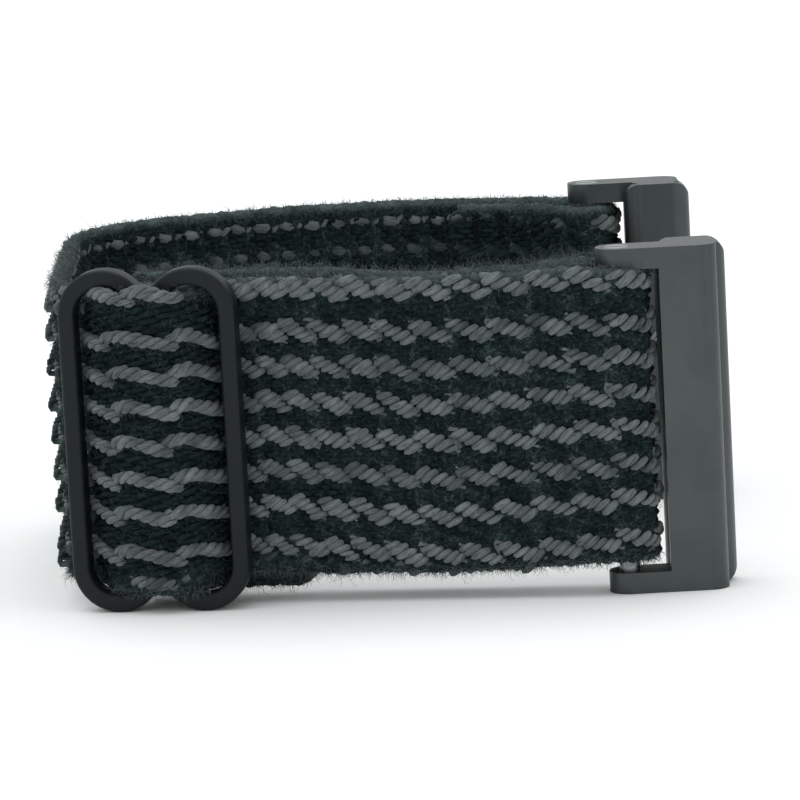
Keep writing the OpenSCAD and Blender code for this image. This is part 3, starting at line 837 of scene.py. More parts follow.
class Finish:
    """A material in the making: its shader, its coordinates, and short ways to add
    textures, ramps, mixes and bumps."""

    def __init__(self, name, sockets):
        self.material = bpy.data.materials.new(name)
        self.material.use_nodes = True
        self.nodes = self.material.node_tree.nodes
        self.link = self.material.node_tree.links.new
        self.shader = self.nodes["Principled BSDF"].inputs
        for socket, value in sockets.items():
            self.shader[socket].default_value = value
        self.coordinates = self.nodes.new("ShaderNodeTexCoord").outputs

    def stretched(self, vector, scale, turn=(0, 0, 0)):
        """A vector output, stretched and turned."""
        mapping = self.nodes.new("ShaderNodeMapping")
        mapping.inputs["Scale"].default_value = scale
        mapping.inputs["Rotation"].default_value = turn
        self.link(vector, mapping.inputs["Vector"])
        return mapping.outputs["Vector"]

    def noise(self, vector, scale, detail=3.0, rough=0.6):
        """A noise texture on a vector output."""
        texture = self.nodes.new("ShaderNodeTexNoise")
        texture.inputs["Scale"].default_value = scale
        texture.inputs["Detail"].default_value = detail
        texture.inputs["Roughness"].default_value = rough
        self.link(vector, texture.inputs["Vector"])
        return texture.outputs["Fac"]

    def tone(self):
        """The tone that the mesh carries at each point."""
        node = self.nodes.new("ShaderNodeAttribute")
        node.attribute_name = "tone"
        return node.outputs["Fac"]

    def ramp(self, value, *stops):
        """A colour ramp over a value. A stop is a position and a colour."""
        node = self.nodes.new("ShaderNodeValToRGB")
        elements = node.color_ramp.elements
        while len(elements) < len(stops):
            elements.new(0.5)
        for element, (position, colour) in zip(elements, stops):
            element.position = position
            element.color = (*colour, 1)
        self.link(value, node.inputs["Fac"])
        return node.outputs["Color"]

    def spread(self, noise, low, high, colour=WHITE):
        """A noise's middle part as a ramp from a darker to a brighter shade."""
        return self.ramp(noise, (NOISE_LOW, shade(colour, low)), (NOISE_HIGH, shade(colour, high)))

    def mixed(self, mode, first, second, factor=1.0):
        """Two colours mixed. Each may be a colour or an output."""
        node = self.nodes.new("ShaderNodeMix")
        node.data_type = "RGBA"
        node.blend_type = mode
        for socket, value in ((node.inputs[0], factor), (node.inputs[6], first), (node.inputs[7], second)):
            if isinstance(value, bpy.types.NodeSocket):
                self.link(value, socket)
            else:
                socket.default_value = value
        return node.outputs[2]

    def done(self, base, height, distance, strength):
        """The material, with its base colour and a surface raised by a height texture."""
        node = self.nodes.new("ShaderNodeBump")
        node.inputs["Distance"].default_value = distance
        node.inputs["Strength"].default_value = strength
        self.link(height, node.inputs["Height"])
        self.link(node.outputs["Normal"], self.shader["Normal"])
        self.link(base, self.shader["Base Color"])
        return self.material


def yarn_finish(name, colour, contrast, sheen=0.0):
    """Spun yarn: fine fibres run round the ply at a slant, with blotches of tone."""
    finish = Finish(name, {"Roughness": 0.95, "Specular IOR Level": 0.04,
                           "Sheen Weight": sheen, "Sheen Roughness": 0.6})
    slanted = finish.stretched(finish.coordinates["UV"], FIBRE_STRETCH, FIBRE_SLANT)
    fibres = finish.noise(slanted, scale=1.6, detail=4, rough=0.65)
    blotch = finish.noise(finish.coordinates["Object"], scale=420, detail=2)
    tone = finish.tone()
    base = finish.ramp(fibres, (0.33, shade(colour, 1 - contrast)), (0.47, colour),
                       (NOISE_HIGH, shade(colour, 1 + 0.7 * contrast)))
    spots = finish.spread(blotch, 0.72, 1.2)
    # Low tones multiply the yarn towards the shade tint: painted shade on dim cords; mid tones keep each
    # ply's own colour
    plies = finish.ramp(tone, (0.0, SHADE_TINT), (OWN_TONE, grey(0.98)), (1.0, grey(1.25)))
    base = finish.mixed("MULTIPLY", base, spots)
    base = finish.mixed("MULTIPLY", base, plies)
    return finish.done(base, fibres, distance=0.06 * MM, strength=0.8)


def wool_finish(name, colour, contrast, sheen=0.0, fibre=None):
    """Felted ground or a loose fibre: fine speckle and broad blotches on the object's
    own coordinates. With a fibre colour, the upper edge is painted paler, as painted light
    from above, and thin curly lines lie over the felt, white where a noise passes through
    its middle value."""
    finish = Finish(name, {"Roughness": 1.0, "Specular IOR Level": 0.04,
                           "Sheen Weight": sheen, "Sheen Roughness": 0.7})
    place = finish.coordinates["Object"]
    fine = finish.noise(place, scale=3000, rough=0.7)
    broad = finish.noise(place, scale=750)
    base = finish.spread(fine, 1 - contrast, 1 + contrast, colour)
    spots = finish.spread(broad, 0.6, 1.35)
    base = finish.mixed("MULTIPLY", base, spots)
    if fibre:
        # The upper edge is painted paler with the fibre colour: painted light from above
        edge = finish.ramp(finish.tone(), (0.0, grey(0)), (1.0, shade(fibre, TOP_EDGE_LIGHT)))
        edge = finish.mixed("MULTIPLY", edge, spots)
        base = finish.mixed("ADD", base, edge)
        for scale in FELT_SCALES:
            curls = finish.noise(place, scale, detail=1.5, rough=0.5)
            curls = finish.ramp(curls, (0.455, grey(0)), (0.5, WHITE), (0.545, grey(0)))
            curls = finish.mixed("MULTIPLY", curls, spots)
            curls = finish.mixed("MULTIPLY", curls, (*fibre, 1))
            base = finish.mixed("ADD", base, curls, FELT_STRENGTH)
    return finish.done(base, fine, distance=0.05 * MM, strength=0.9)


def coat_finish(name, colour):
    """Matt powder coat: a fine even grain, with slight changes of gloss."""
    finish = Finish(name, {"Specular IOR Level": 0.22})
    grain = finish.noise(finish.coordinates["Object"], scale=9000, detail=2)
    cloud = finish.noise(finish.coordinates["Object"], scale=260)
    base = finish.spread(cloud, 0.85, 1.2, colour)
    finish.link(finish.spread(cloud, 0.44, 0.56), finish.shader["Roughness"])
    return finish.done(base, grain, distance=0.004 * MM, strength=0.5)


def metal_finish(name, colour, roughness, grain_size, stretch=(1, 1, 1)):
    """Bare metal: a fine grain, even from blasting or stretched by turning."""
    finish = Finish(name, {"Metallic": 1.0})
    grain = finish.noise(finish.stretched(finish.coordinates["Object"], stretch), grain_size, detail=2)
    cloud = finish.noise(finish.coordinates["Object"], scale=300)
    base = finish.spread(cloud, 0.9, 1.08, colour)
    finish.link(finish.spread(grain, roughness - 0.06, roughness + 0.08), finish.shader["Roughness"])
    return finish.done(base, grain, distance=0.003 * MM, strength=0.4)


def light_yarn(colours):
    """Light grey yarn of the zigzag rows."""
    return yarn_finish("light_yarn", colours.light, contrast=0.6, sheen=0.1)


def dark_wool(colours):
    """Near black yarn of the dark cords, softly felted."""
    return wool_finish("dark_wool", colours.dark, contrast=0.45)


def dark_ground(colours):
    """The felted ground."""
    return wool_finish("dark_ground", colours.dark, contrast=0.5, fibre=colours.fuzz)


def shaded_face_fibre(colours):
    """Fibres that lie over the faces: a darker copy of the edge fibres, painted shade."""
    return wool_finish("shaded_face_fibre", colours.face_fuzz, contrast=0.4, sheen=0.1)


def lit_edge_fuzz(colours):
    """Loose fibres along the edges: a lighter copy of the face fibres, painted light from above."""
    return wool_finish("lit_edge_fuzz", colours.fuzz, contrast=0.4, sheen=0.1)


def black_thread(colours):
    """Sewing thread of the bar tacks."""
    return yarn_finish("black_thread", colours.thread, contrast=0.4)


def buckle_coat(colours):
    """Matt black coat of the buckle."""
    return coat_finish("buckle_coat", colours.buckle)


def blasted_metal(colours):
    """Blasted metal of the adapters' bodies."""
    return metal_finish("blasted_metal", colours.metal, roughness=0.42, grain_size=9000)


def turned_steel(colours):
    """Turned steel of the bars, screws and catches."""
    return metal_finish("turned_steel", colours.steel, roughness=0.28, grain_size=2500, stretch=(1, 1, 9))


def grip_rubber(colours):
    """Rubber of the grip pads."""
    return wool_finish("grip_rubber", colours.rubber, contrast=0.25, sheen=0.05)


def finish_for(context, build):
    """A material made once by the function that has its name, and then shared."""
    return bpy.data.materials.get(build.__name__) or build(context.scene.strap_colours)


def finish_piece(piece, body, slot, *nodes):
    """Rides on a body and stands for CAD nodes. The slot is not used."""
    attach(piece, body)
    if nodes:
        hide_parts(*nodes)
    return piece


class Layer:
    """A layer of band that rides on a body, and the ways to add its woven pieces. half
    is half its ground's thickness, and units the zigzags up to each sample."""

    def __init__(self, context, body, route, half=None, units=None):
        self.context, self.body, self.route, self.units = context, body, route, units
        self.weave = context.scene.strap_weave
        self.half = self.weave.ground if half is None else half
        self.whole = (0, route.length)

    def add(self, name, points, faces, uvs, build, tone=None, nodes=()):
        """Adds a piece of the band, which may stand for CAD nodes."""
        piece = make_piece(name, points, faces, finish_for(self.context, build), uvs, tone)
        return finish_piece(piece, self.body, "woven_band", *nodes)

    def ground(self, name, *nodes, span=None, half=None, width=BAND_W / 2, seed=1,
               rounded=(False, False), rim=None):
        """The dark ground: a flat oval carried along the route.

        The oval is two flat faces and two half-round edges, which swell to a thicker rim
        within a short way of the edge, and soft noise pushes each point out or in. A
        rounded end narrows the layer as a circle does. The upper edge has a tone of 1,
        which paints it paler: painted light from above.
        """
        route, span, half = self.route, span or self.whole, half or self.half
        rings = int((span[1] - span[0]) / GROUND_STEP) + 3
        s = np.linspace(*span, rings)
        rim = rim or half
        across = np.linspace(-1, 1, FACE_POINTS)
        turn = np.linspace(0, np.pi, EDGE_POINTS)[1:-1]
        flat = width - rim
        swell = (np.abs(across) * flat - width + RIM_WIDTH) / (RIM_WIDTH - rim + RIM_GAP)
        face = half + (rim - half) * smooth(np.clip(swell, 0, 1))
        v = np.concatenate([across * flat, flat + rim * np.sin(turn),
                            -across * flat, -flat - rim * np.sin(turn)])
        w = np.concatenate([face, rim * np.cos(turn), -face, -rim * np.cos(turn)])
        thin = np.interp(s, route.s, route.half) / (BAND_T / 2)
        for end, distance in zip(rounded, (s - span[0], span[1] - s)):
            if end:
                thin = thin * np.sqrt(1 - (1 - np.clip(distance / half, ROUND_LEAST, 1)) ** 2)
        points = route.place(s[:, None], v[None], w[None] * thin[:, None])
        middle = route.place(s[:, None], np.clip(v, -flat, flat)[None], 0 * w[None])
        push = sum(GROUND_NOISE * ripple(points, grain, seed + k)
                   for k, grain in enumerate(GROUND_GRAINS))
        points = points + unit(points - middle) * push[..., None]
        sides = len(v)
        faces = [grid_faces(rings, sides), end_caps(rings, sides)]
        # Tone 1 on the upper edge, which the ground's finish paints paler: painted light from above
        tone = np.broadcast_to(smooth(np.clip((v - flat) / rim, 0, 1)), (rings, sides))
        return self.add(name, points, faces, None, dark_ground, tone, nodes)

    def cords(self, name, rows, kind, seed):
        """Light or dark cords as one piece. rows lists a face, its stretch, the heights
        of its cords and the form of their zigzag."""
        rng = np.random.default_rng(seed)
        parts = []
        for side, span, heights, form in rows:
            woven = zigzag_lines(self, side, span, heights, form, rng)
            parts += spun_cords(*woven, form.spin, rng)
        tubes, tones = zip(*parts)
        if kind == "light":
            return self.add(name, *joined(tubes), light_yarn, np.concatenate(tones))
        return self.add(name, *joined(tubes), dark_wool)

    def face_fuzz(self, name, span, sides, density, seed):
        """Loose fibres over the faces, as many per square millimetre as the density."""
        rng = np.random.default_rng(seed)
        tubes = []
        for side in sides:
            count = int(density * (span[1] - span[0]) * BAND_W / MM**2)
            s = rng.uniform(*span, count)
            v = rng.uniform(-BAND_W / 2, BAND_W / 2, count)
            roots = self.route.place(s, v, side * self.weave.ground * FACE_ROOT)
            tubes.append(hair_arrays(roots, side * self.route.outward(s), self.weave.fuzz_length,
                                     FACE_SPREAD, FACE_LIFT, self.weave.fuzz_width, rng))
        return self.add(name, *joined(tubes), shaded_face_fibre)

    def edge_fuzz(self, name, span, per_mm, seed, longer=1.0):
        """Loose fibres all round the top and bottom edges."""
        rng = np.random.default_rng(seed)
        tubes = []
        for end in (1, -1):
            count = int(per_mm * (span[1] - span[0]) / MM)
            s = rng.uniform(*span, count)
            turn = rng.uniform(-EDGE_TURN, EDGE_TURN, count)
            roots = self.route.place(s, end * (BAND_W / 2 - RIM + RIM * np.cos(turn)), RIM * np.sin(turn))
            outward = self.route.outward(s) * np.sin(turn)[:, None]
            outward[:, 2] = end * np.cos(turn)
            usual = longer * self.weave.fuzz_length * EDGE_LENGTH
            tubes.append(hair_arrays(roots, outward, usual, EDGE_SPREAD, EDGE_LIFT,
                                     self.weave.fuzz_width, rng))
        return self.add(name, *joined(tubes), lit_edge_fuzz)


class STRAP_OT_loop(bpy.types.Operator):
    """Weave the outer layer, round both bars and the wrist"""

    bl_idname = "strap.loop"
    bl_label = "Outer layer"

    def execute(self, context):
        route = loop_route(context)
        layer = Layer(context, "strap", route, units=units_along(route))
        layer.ground("outer_ground", "strap_near_run", "strap_near_bend", "strap_left_corner",
                     "strap_left_end", "strap_far_corner", "strap_far_run", "strap_far_bend",
                     "strap_far_tail", rounded=(False, True), rim=RIM)
        outside = (LOOP_ENDS[0], route.length - LOOP_ENDS[1])
        fold = math.pi * WRAP_RADIUS
        wrist = (fold + INNER_HIGH - BACK_MARGIN,
                 route.tail_at - fold - context.scene.strap_loop.far_tail + BACK_MARGIN)
        for number in range(len(LIGHT_ROWS)):
            heights = LIGHT_ROWS[[number]]
            # The wrist's side takes a low tone: painted shade inside the loop, a little less on its top
            # rows
            back = replace(BACK_FORM, tones=steady(BACK_SHADE_TONES[number]))
            rows = [(OUTSIDE, outside, heights, self.outside_form(layer, number)),
                    (WRIST_SIDE, wrist, heights + BACK_DROP[number], back)]
            layer.cords(f"outer_light_row_{number + 1}", rows, "light", seed=10 + number)
        for number, heights in enumerate(np.array_split(dark_heights(), DARK_GROUPS)):
            rows = [(OUTSIDE, outside, heights, dark_form(layer.weave, DARK_RINGS)),
                    (WRIST_SIDE, wrist, heights, dark_form(layer.weave, DARK_BACK_RINGS))]
            layer.cords(f"outer_dark_rows_{number + 1}", rows, "dark", seed=40 + number)
        return {"FINISHED"}

    def outside_form(self, layer, number):
        """Zigzag of a light row on the outside. The top row lies lower on the far side,
        the lowest is painted dim for the shade along the band's lower edge, and all are
        painted darker on the far tail for the shadow cast near the far bar."""
        level = LOW_ROW_SHADE_TONE if number == LOW_ROW else OWN_TONE
        tail = layer.route.tail_at
        # On the far tail every row fades to a low tone: a painted shadow near the far bar
        return row_form(layer.weave, ROW_RINGS, number in (TOP_ROW, LOW_ROW),
                        tones=((tail - TONE_FADE, tail), (level, min(level, TAIL_SHADOW_TONE))),
                        drops=FAR_DROP if number == TOP_ROW else steady(0))


class STRAP_OT_loop_fuzz(bpy.types.Operator):
    """Grow the loose fibres of the outer layer"""

    bl_idname = "strap.loop_fuzz"
    bl_label = "Outer fuzz"

    def execute(self, context):
        layer = Layer(context, "strap", loop_route(context))
        half = layer.route.length / 2
        stretches = (((0, half), NEAR_FUZZ), ((half, layer.route.length), FAR_FUZZ))
        for number, (span, fuzz) in enumerate(stretches, 1):
            sides = (OUTSIDE, WRIST_SIDE)
            layer.face_fuzz(f"outer_fuzz_{number}", span, sides, fuzz["face"], seed=60 + number)
            layer.edge_fuzz(f"outer_edge_fuzz_{number}", span, fuzz["edge"], seed=70 + number,
                            longer=fuzz["longer"])
        return {"FINISHED"}


class STRAP_OT_inner(bpy.types.Operator):
    """Weave the inner layer and its sewn end"""

    bl_idname = "strap.inner"
    bl_label = "Inner layer"

    def execute(self, context):
        route = inner_route()
        units = units_along(route, INNER_OFFSET)
        layer = Layer(context, "strap", route, units=units)
        run = self.stretch(layer, "inner_run", (0, INNER_LOW), short=0, swell=0, seeds=(81, 5, 83))
        for piece in run:
            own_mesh(piece)
        layer = Layer(context, "buckle", route, units=units)
        self.stretch(layer, "inner_end", (INNER_LOW, route.length), short=INNER_END,
                     swell=INNER_SWELL, seeds=(84, 7, 86))
        return {"FINISHED"}

    def stretch(self, layer, name, span, short, swell, seeds):
        """A stretch of the inner layer: cords on the wrist's side, which stop short of
        its sewn end, the ground, a little swollen and rounded there, and the fuzz."""
        woven = (span[0], span[1] - short)
        light, dark = row_form(layer.weave, INNER_RINGS[0]), dark_form(layer.weave, INNER_RINGS[1])
        rows = [layer.cords(f"{name}_{kind}_rows", [(WRIST_SIDE, woven, heights, form)], kind, seeds[0])
                for kind, heights, form in (("light", LIGHT_ROWS + 2 * BACK_DROP, light),
                                            ("dark", dark_heights(), dark))]
        ground = layer.ground(f"{name}_ground", f"strap_{name}", span=span, half=layer.half + swell,
                              seed=seeds[1], rounded=(False, short > 0), rim=RIM)
        return [ground, layer.edge_fuzz(f"{name}_fuzz", span, INNER_FUZZ, seeds[2]), *rows]


class STRAP_OT_sewn_tail(bpy.types.Operator):
    """Shape the sewn tail between the two layers, pressed flat, with frayed edges"""

    bl_idname = "strap.sewn_tail"
    bl_label = "Sewn tail"

    def execute(self, context):
        along = np.linspace(TAIL_LOW, TAIL_HIGH, 200)
        route = Route(near_plan(along, np.full_like(along, (TAIL_IN + TAIL_OUT) / 2)))
        corner = 1 - np.sqrt(1 - np.clip(1 - route.s / SEWN_CORNER, 0, 1) ** 2)
        route.squeeze = (1 + SEWN_SPREAD) * (1 - SEWN_CORNER / (BAND_W / 2) * corner)
        layer = Layer(context, "buckle", route, half=TAIL_T / 2 - GROUND_NOISE)
        layer.ground("sewn_tail", "strap_sewn_tail", seed=9, rounded=(True, True))
        layer.edge_fuzz("sewn_tail_fuzz", layer.whole, SEWN_FUZZ, seed=91)
        return {"FINISHED"}


class STRAP_OT_crossing(bpy.types.Operator):
    """Weave the stretched band that crosses the buckle, and its sleeve on the bar"""

    bl_idname = "strap.crossing"
    bl_label = "Crossing"

    def execute(self, context):
        layer = Layer(context, "buckle", crossing_route(), half=CROSS_HALF)
        layer.ground("crossing_ground", "strap_crossover", seed=11)
        self.weave_rows(layer)
        layer.face_fuzz("crossing_fuzz", layer.whole, (OUTSIDE,), CROSS_FUZZ["face"], seed=22)
        layer.edge_fuzz("crossing_edge_fuzz", layer.whole, CROSS_FUZZ["edge"], seed=23)
        self.sleeve(context)
        return {"FINISHED"}

    def weave_rows(self, layer):
        """The light cords have three loose plies and bend in each leg. The lowest comes
        up in dashes over the middle, and the top one only shows there. The dark cords
        lie deeper and run straight."""
        weave, route = layer.weave, layer.route
        light = plied(weave.light_yarn, CROSS_TWIST * weave.twist, plies=3)
        dark = plied(weave.dark_yarn, CROSS_TWIST * weave.twist)
        bent, dashed = replace(CROSS_FORM, spin=light), replace(DASH_FORM, spin=light)
        heights = LIGHT_ROWS + CROSS_SHIFT
        middle = route.length / 2
        top_span, dash_span = ((middle + low, middle + high) for low, high in (TOP_SPAN, DASH_SPAN))
        units = (route.s - middle) / CROSS_UNIT + CROSS_PHASE
        units = units - np.floor(units[0])
        light_rows = [(OUTSIDE, layer.whole, heights[TOP_ROW + 1:LOW_ROW], bent),
                      (OUTSIDE, dash_span, heights[LOW_ROW:], dashed)]
        top_rows = [(OUTSIDE, top_span, heights[:TOP_ROW + 1], bent)]
        dark_rows = [(OUTSIDE, layer.whole, dark_heights(heights), replace(CROSS_DARK_FORM, spin=dark))]
        for name, kind, rows, phase in (("light_rows", "light", light_rows, 0),
                                        ("top_rows", "light", top_rows, CROSS_TOP_PHASE),
                                        ("dark_rows", "dark", dark_rows, 0)):
            layer.units = units + phase
            layer.cords(f"crossing_{name}", rows, kind, seed=21)

    def sleeve(self, context):
        """The thin wrap of band round the buckle's middle bar: a rounded rectangle, whose
        point at an angle lies where the sixth powers of its two shares add up to one."""
        half_x = (SLEEVE_HIGH - SLEEVE_LOW) / 2 - SLEEVE_HALF
        half_y = (SLEEVE_OUT - SLEEVE_IN) / 2 - SLEEVE_HALF
        turn = np.linspace(0, 2 * np.pi, 400)
        x, y = np.cos(turn), np.sin(turn)
        bulge = (np.abs(x) ** SLEEVE_SQUARE + np.abs(y) ** SLEEVE_SQUARE) ** (-1 / SLEEVE_SQUARE)
        along = BUCKLE_AT + half_x * bulge * x
        out = (SLEEVE_IN + SLEEVE_OUT) / 2 + half_y * bulge * y
        low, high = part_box("strap_bar_sleeve")
        layer = Layer(context, "buckle", Route(near_plan(along, out)), half=SLEEVE_HALF)
        layer.ground("bar_sleeve", "strap_bar_sleeve", width=(high.z - low.z) / 2, seed=13)


class STRAP_OT_stitches(bpy.types.Operator):
    """Sew the bar tacks that hold the two tails"""

    bl_idname = "strap.stitches"
    bl_label = "Stitches"

    def execute(self, context):
        thread = finish_for(context, black_thread)
        first, last, _, _ = near_reach("buckle_stitches")
        rows = (first + TACK_WIDTH / 2, last - TACK_WIDTH / 2)
        piece = self.tacks("buckle_tacks", inner_route(), rows, BAND_T / 2 - TACK_SINK, thread)
        finish_piece(piece, "buckle", "thread", "buckle_stitches")
        route = loop_route(context)
        tail_end = route.length - TACK_EDGE
        rows = (tail_end, tail_end - TACK_PITCH)
        piece = self.tacks("far_tacks", route, rows, TAIL_T / 2 + TACK_SINK, thread)
        finish_piece(piece, "strap", "thread", "far_stitches")
        return {"FINISHED"}

    def tacks(self, name, route, rows, out, thread):
        """Bar tacks: the thread runs to and fro across a short bar and climbs it, and
        each pass arches a little over the cloth."""
        space = BAND_W / TACK_COUNT
        climb = np.linspace(0, 1, TACK_PASSES * TACK_RINGS + 1)
        swing = 1 - 2 * np.abs(climb * TACK_PASSES % 2 - 1)
        lines = []
        for s in rows:
            for i in range(TACK_COUNT):
                middle = (i + 0.5) * space - BAND_W / 2
                v = middle + TACK_LENGTH * (climb - 0.5)
                w = out + TACK_ARCH * (1 - swing**2)
                lines.append(route.place(s + swing * TACK_WIDTH / 2, v, w))
        lines = np.array(lines)
        outward = np.broadcast_to(route.outward(np.array(rows[0])), lines.shape)
        points, faces, uvs = tube_arrays(lines, outward, TACK_THREAD, TACK_SIDES)
        return make_piece(name, points, faces, thread, uvs, np.full(len(points), OWN_TONE))


def rounded_profile(width, height, radius, count=6):
    """Outline of a rectangle with quarter-round corners, about its middle."""
    turn = np.linspace(0, 90, count)
    corners = []
    for k, (x, y) in enumerate(((1, 1), (-1, 1), (-1, -1), (1, -1))):
        middle = np.array([x * (width / 2 - radius), y * (height / 2 - radius)])
        corners.append(middle + radius * direction(turn + 90 * k))
    return np.concatenate(corners)


def at_buckle(x, out, z):
    """Points from the buckle's own measures: along the band, out of it and up."""
    plan = near_plan(BUCKLE_AT + x, out)
    return np.concatenate([plan, (BAND_MID_Z + z)[..., None]], -1)


class STRAP_OT_buckle(bpy.types.Operator):
    """Shape the buckle: a swept ring with two lobes at each end, and its middle bar"""

    bl_idname = "strap.buckle"
    bl_label = "Buckle"

    def execute(self, context):
        sizes = context.scene.strap_buckle
        low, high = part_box("buckle_frame")
        lobe_x = (BUCKLE_HIGH - BUCKLE_LOW) / 2 - sizes.lobe
        lobe_z = (high.z - low.z) / 2 - sizes.lobe
        rise = math.sqrt((sizes.lobe + sizes.dip) ** 2 - lobe_x**2)
        coat = finish_for(context, buckle_coat)
        finish_piece(self.ring(sizes, lobe_x, lobe_z, rise, coat), "buckle", "buckle_black", "buckle_frame")
        finish_piece(self.middle_bar(sizes, lobe_x, lobe_z + rise, coat), "buckle", "buckle_black")
        return {"FINISHED"}

    def ring(self, sizes, lobe_x, lobe_z, rise, coat):
        """The ring's middle line is two lobe arcs and a dip arc, which meet on the line
        between their centres, then a straight side, and the same turned half round. A
        rounded rectangle is carried round it."""
        width = sizes.lobe - sizes.slot
        meet = math.degrees(math.atan2(rise, lobe_x))
        lobe, dip = sizes.lobe - width / 2, sizes.dip + width / 2
        half = np.concatenate([
            arc(np.array([lobe_x, lobe_z]), lobe, 0, 180 - meet, LOBE_POINTS),
            arc(np.array([0, lobe_z + rise]), dip, -meet, meet - 180, SIDE_POINTS)[1:-1],
            arc(np.array([-lobe_x, lobe_z]), lobe, meet, 180, LOBE_POINTS),
            line(np.array([-lobe_x - lobe, lobe_z]), -90, 2 * lobe_z, SIDE_POINTS)[1:-1],
        ])
        path = np.concatenate([half, -half])
        way = unit(np.roll(path, -1, axis=0) - np.roll(path, 1, axis=0))
        side = np.stack([way[:, 1], -way[:, 0]], -1)
        profile = rounded_profile(width, FRAME_FRONT - FRAME_BACK, sizes.edge)
        flat = path[:, None] + side[:, None] * profile[None, :, :1]
        out = np.broadcast_to((FRAME_FRONT + FRAME_BACK) / 2 + profile[:, 1], flat.shape[:2])
        points = at_buckle(flat[..., 0], out, flat[..., 1])
        rings, sides = points.shape[:2]
        faces = grid_faces(rings + 1, sides) % (rings * sides)
        return make_piece("buckle_ring", points, [faces], coat)

    def middle_bar(self, sizes, lobe_x, dip_z, coat):
        """A flat bar between the slots, as thick as the ring where it joins it."""
        width = 2 * (lobe_x - sizes.slot)
        end = dip_z - sizes.dip - BAR_SINK
        z = np.linspace(end - BAR_FLARE, end, BAR_RINGS)
        z = np.concatenate([-z[::-1], z])
        share = smooth(np.clip((np.abs(z) - end + BAR_FLARE) / BAR_FLARE, 0, 1))
        thick = BAR_T + (FRAME_FRONT - FRAME_BACK - BAR_INSET - BAR_T) * share
        middle = (SLEEVE_IN + SLEEVE_OUT) / 2
        middle = middle + ((FRAME_FRONT + FRAME_BACK) / 2 - middle) * share
        profile = rounded_profile(1.0, 1.0, BAR_ROUND)
        x = profile[None, :, 0] * width * np.ones_like(z)[:, None]
        out = middle[:, None] + profile[None, :, 1] * thick[:, None]
        points = at_buckle(x, out, np.broadcast_to(z[:, None], x.shape))
        rings, sides = points.shape[:2]
        faces = [grid_faces(rings, sides), end_caps(rings, sides)]
        return make_piece("buckle_middle_bar", points, faces, coat)


class STRAP_OT_adapters(bpy.types.Operator):
    """Finish both adapters: blasted bodies, steel bars, screws and catches, rubber pads"""

    bl_idname = "strap.adapters"
    bl_label = "Adapters"

    def execute(self, context):
        blasted, turned, rubber = (finish_for(context, build)
                                   for build in (blasted_metal, turned_steel, grip_rubber))
        for side in ("near", "far"):
            self.finish(f"{side}_insert", blasted, "adapter_metal")
            self.soften(frame["nodes"][f"{side}_insert"])
            for part in ("bar", "bar_screws", "catch", "catch_spring", "catch_sleeve"):
                self.finish(f"{side}_{part}", turned, "bar_steel")
            self.finish(f"{side}_grip_pads", rubber, "pad_rubber")
        return {"FINISHED"}

    def finish(self, name, material, slot):
        """Gives a CAD node its finish."""
        node = frame["nodes"][name]
        for material_slot in node.material_slots:
            material_slot.material = material

    def soften(self, node):
        """Rounds a CAD node's sharp edges a little."""
        weld = node.modifiers.new("weld", "WELD")
        weld.merge_threshold = WELD
        bevel = node.modifiers.new("edges", "BEVEL")
        bevel.width = INSERT_EDGE
        bevel.segments = EDGE_SEGMENTS
        bevel.limit_method = "ANGLE"
        bevel.angle_limit = SHARP
        bevel.harden_normals = True


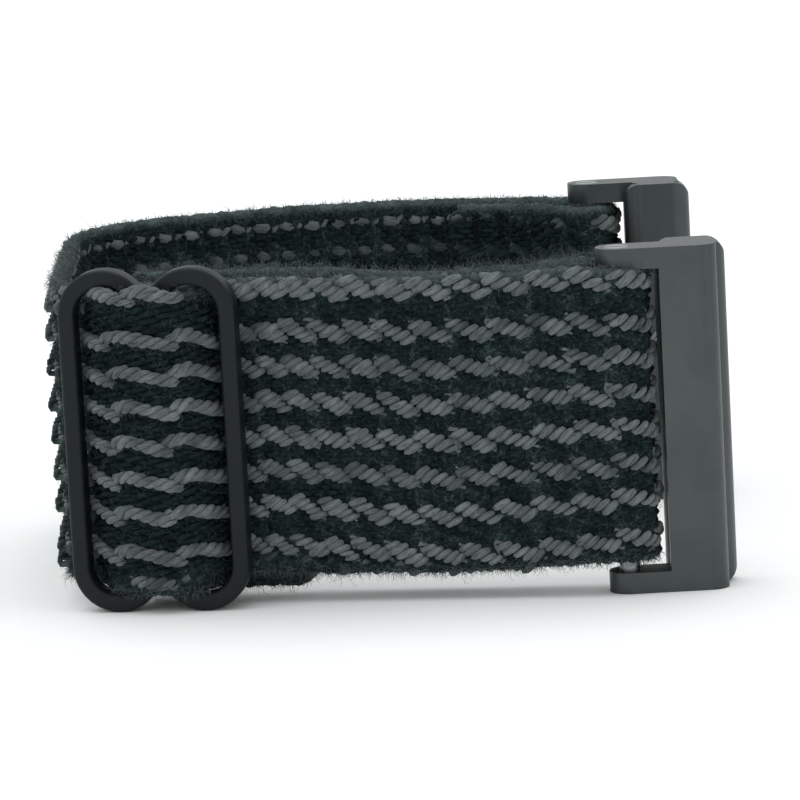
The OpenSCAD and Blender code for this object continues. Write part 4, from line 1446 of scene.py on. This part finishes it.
class STRAP_OT_stage(bpy.types.Operator):
    """Set the pale floor, the white surround, the lights and the camera"""

    bl_idname = "strap.stage"
    bl_label = "Stage"

    def execute(self, context):
        studio = context.scene.strap_studio
        self.floor()
        self.lights(studio)
        self.surround(context.scene, studio)
        self.camera(context.scene, studio)
        context.scene.view_settings.view_transform = "Standard"
        return {"FINISHED"}

    def floor(self):
        """A wide flat disc just under the part."""
        finish = Finish("pale_floor", {"Roughness": 0.9, "Specular IOR Level": 0.1})
        grain = finish.noise(finish.coordinates["Object"], scale=40, detail=2)
        tones = finish.ramp(grain, *zip((NOISE_LOW, NOISE_HIGH), FLOOR_TONES))
        finish.link(tones, finish.shader["Base Color"])
        turn = np.linspace(0, 360, FLOOR_SIDES, endpoint=False)
        rim = np.concatenate([FLOOR_RADIUS * direction(turn), np.full((FLOOR_SIDES, 1), FLOOR_Z)], -1)
        mesh = bpy.data.meshes.new("floor")
        mesh.from_pydata(rim.tolist(), [], [list(range(FLOOR_SIDES))])
        mesh.materials.append(finish.material)
        disc = bpy.data.objects.new("floor", mesh)
        bpy.context.scene.collection.objects.link(disc)

    def lights(self, studio):
        """One broad soft light from above and a little behind, as over a light table."""
        lamp = bpy.data.lights.new("overhead", "SUN")
        lamp.energy = studio.overhead
        lamp.angle = LIGHT_ANGLE
        light = bpy.data.objects.new("overhead", lamp)
        light.rotation_mode = "QUATERNION"
        light.rotation_quaternion = Vector(LIGHT_FROM).to_track_quat("Z", "Y")
        bpy.context.scene.collection.objects.link(light)

    def surround(self, scene, studio):
        """An even surround that lights the part softly and shows as white."""
        world = bpy.data.worlds.new("surround")
        world.use_nodes = True
        nodes, links = world.node_tree.nodes, world.node_tree.links
        back = nodes["Background"]
        back.inputs["Color"].default_value = SURROUND_TINT
        path = nodes.new("ShaderNodeLightPath")
        strength = nodes.new("ShaderNodeMapRange")
        strength.inputs["To Min"].default_value = studio.surround
        strength.inputs["To Max"].default_value = SEEN_WHITE
        links.new(path.outputs["Is Camera Ray"], strength.inputs["Value"])
        links.new(strength.outputs["Result"], back.inputs["Strength"])
        scene.world = world

    def camera(self, scene, studio):
        """A long lens in front, turned to the right, pitched down and then rolled."""
        lens = bpy.data.cameras.new("camera")
        lens.lens = studio.lens
        lens.clip_start, lens.clip_end = CAMERA_CLIP
        camera = bpy.data.objects.new("camera", lens)
        pitch, roll, yaw = studio.pitch, studio.roll, studio.yaw
        level_forward = np.array([math.sin(yaw), math.cos(yaw), 0])
        level_right = np.array([math.cos(yaw), -math.sin(yaw), 0])
        upright = np.array([0, 0, 1])
        forward = math.cos(pitch) * level_forward - math.sin(pitch) * upright
        level_up = math.sin(pitch) * level_forward + math.cos(pitch) * upright
        right = math.cos(roll) * level_right - math.sin(roll) * level_up
        up = math.sin(roll) * level_right + math.cos(roll) * level_up
        turn = np.eye(4)
        turn[:3] = np.stack([right, up, -forward, studio.camera_at], -1)
        camera.matrix_world = Matrix(turn.tolist())
        scene.collection.objects.link(camera)
        scene.camera = camera


OPERATORS = (STRAP_OT_loop, STRAP_OT_loop_fuzz, STRAP_OT_inner, STRAP_OT_sewn_tail,
             STRAP_OT_crossing, STRAP_OT_stitches, STRAP_OT_buckle, STRAP_OT_adapters,
             STRAP_OT_stage)
SETTINGS = {"strap_weave": WeaveSettings, "strap_loop": LoopSettings,
            "strap_buckle": BuckleSettings, "strap_colours": ColourSettings,
            "strap_studio": StudioSettings}


class STRAP_PT_panel(bpy.types.Panel):
    """Sizes, colours and the steps that build the strap"""

    bl_label = "Woven strap"
    bl_idname = "STRAP_PT_panel"
    bl_space_type = "VIEW_3D"
    bl_region_type = "UI"
    bl_category = "Strap"

    def draw(self, context):
        for group, settings in SETTINGS.items():
            box = self.layout.box()
            for name in settings.__annotations__:
                box.prop(getattr(context.scene, group), name)
        for operator in OPERATORS:
            self.layout.operator(operator.bl_idname)


def register():
    """Registers the settings, the steps and the panel."""
    for name, settings in SETTINGS.items():
        bpy.utils.register_class(settings)
        setattr(bpy.types.Scene, name, bpy.props.PointerProperty(type=settings))
    for operator in OPERATORS:
        bpy.utils.register_class(operator)
    bpy.utils.register_class(STRAP_PT_panel)


def unregister():
    """Takes them off again."""
    bpy.utils.unregister_class(STRAP_PT_panel)
    for operator in reversed(OPERATORS):
        bpy.utils.unregister_class(operator)
    for name, settings in SETTINGS.items():
        delattr(bpy.types.Scene, name)
        bpy.utils.unregister_class(settings)


def main():
    """Runs every step in order."""
    register()
    for operator in OPERATORS:
        group, name = operator.bl_idname.split(".")
        getattr(getattr(bpy.ops, group), name)()


if __name__ == "__main__":
    main()
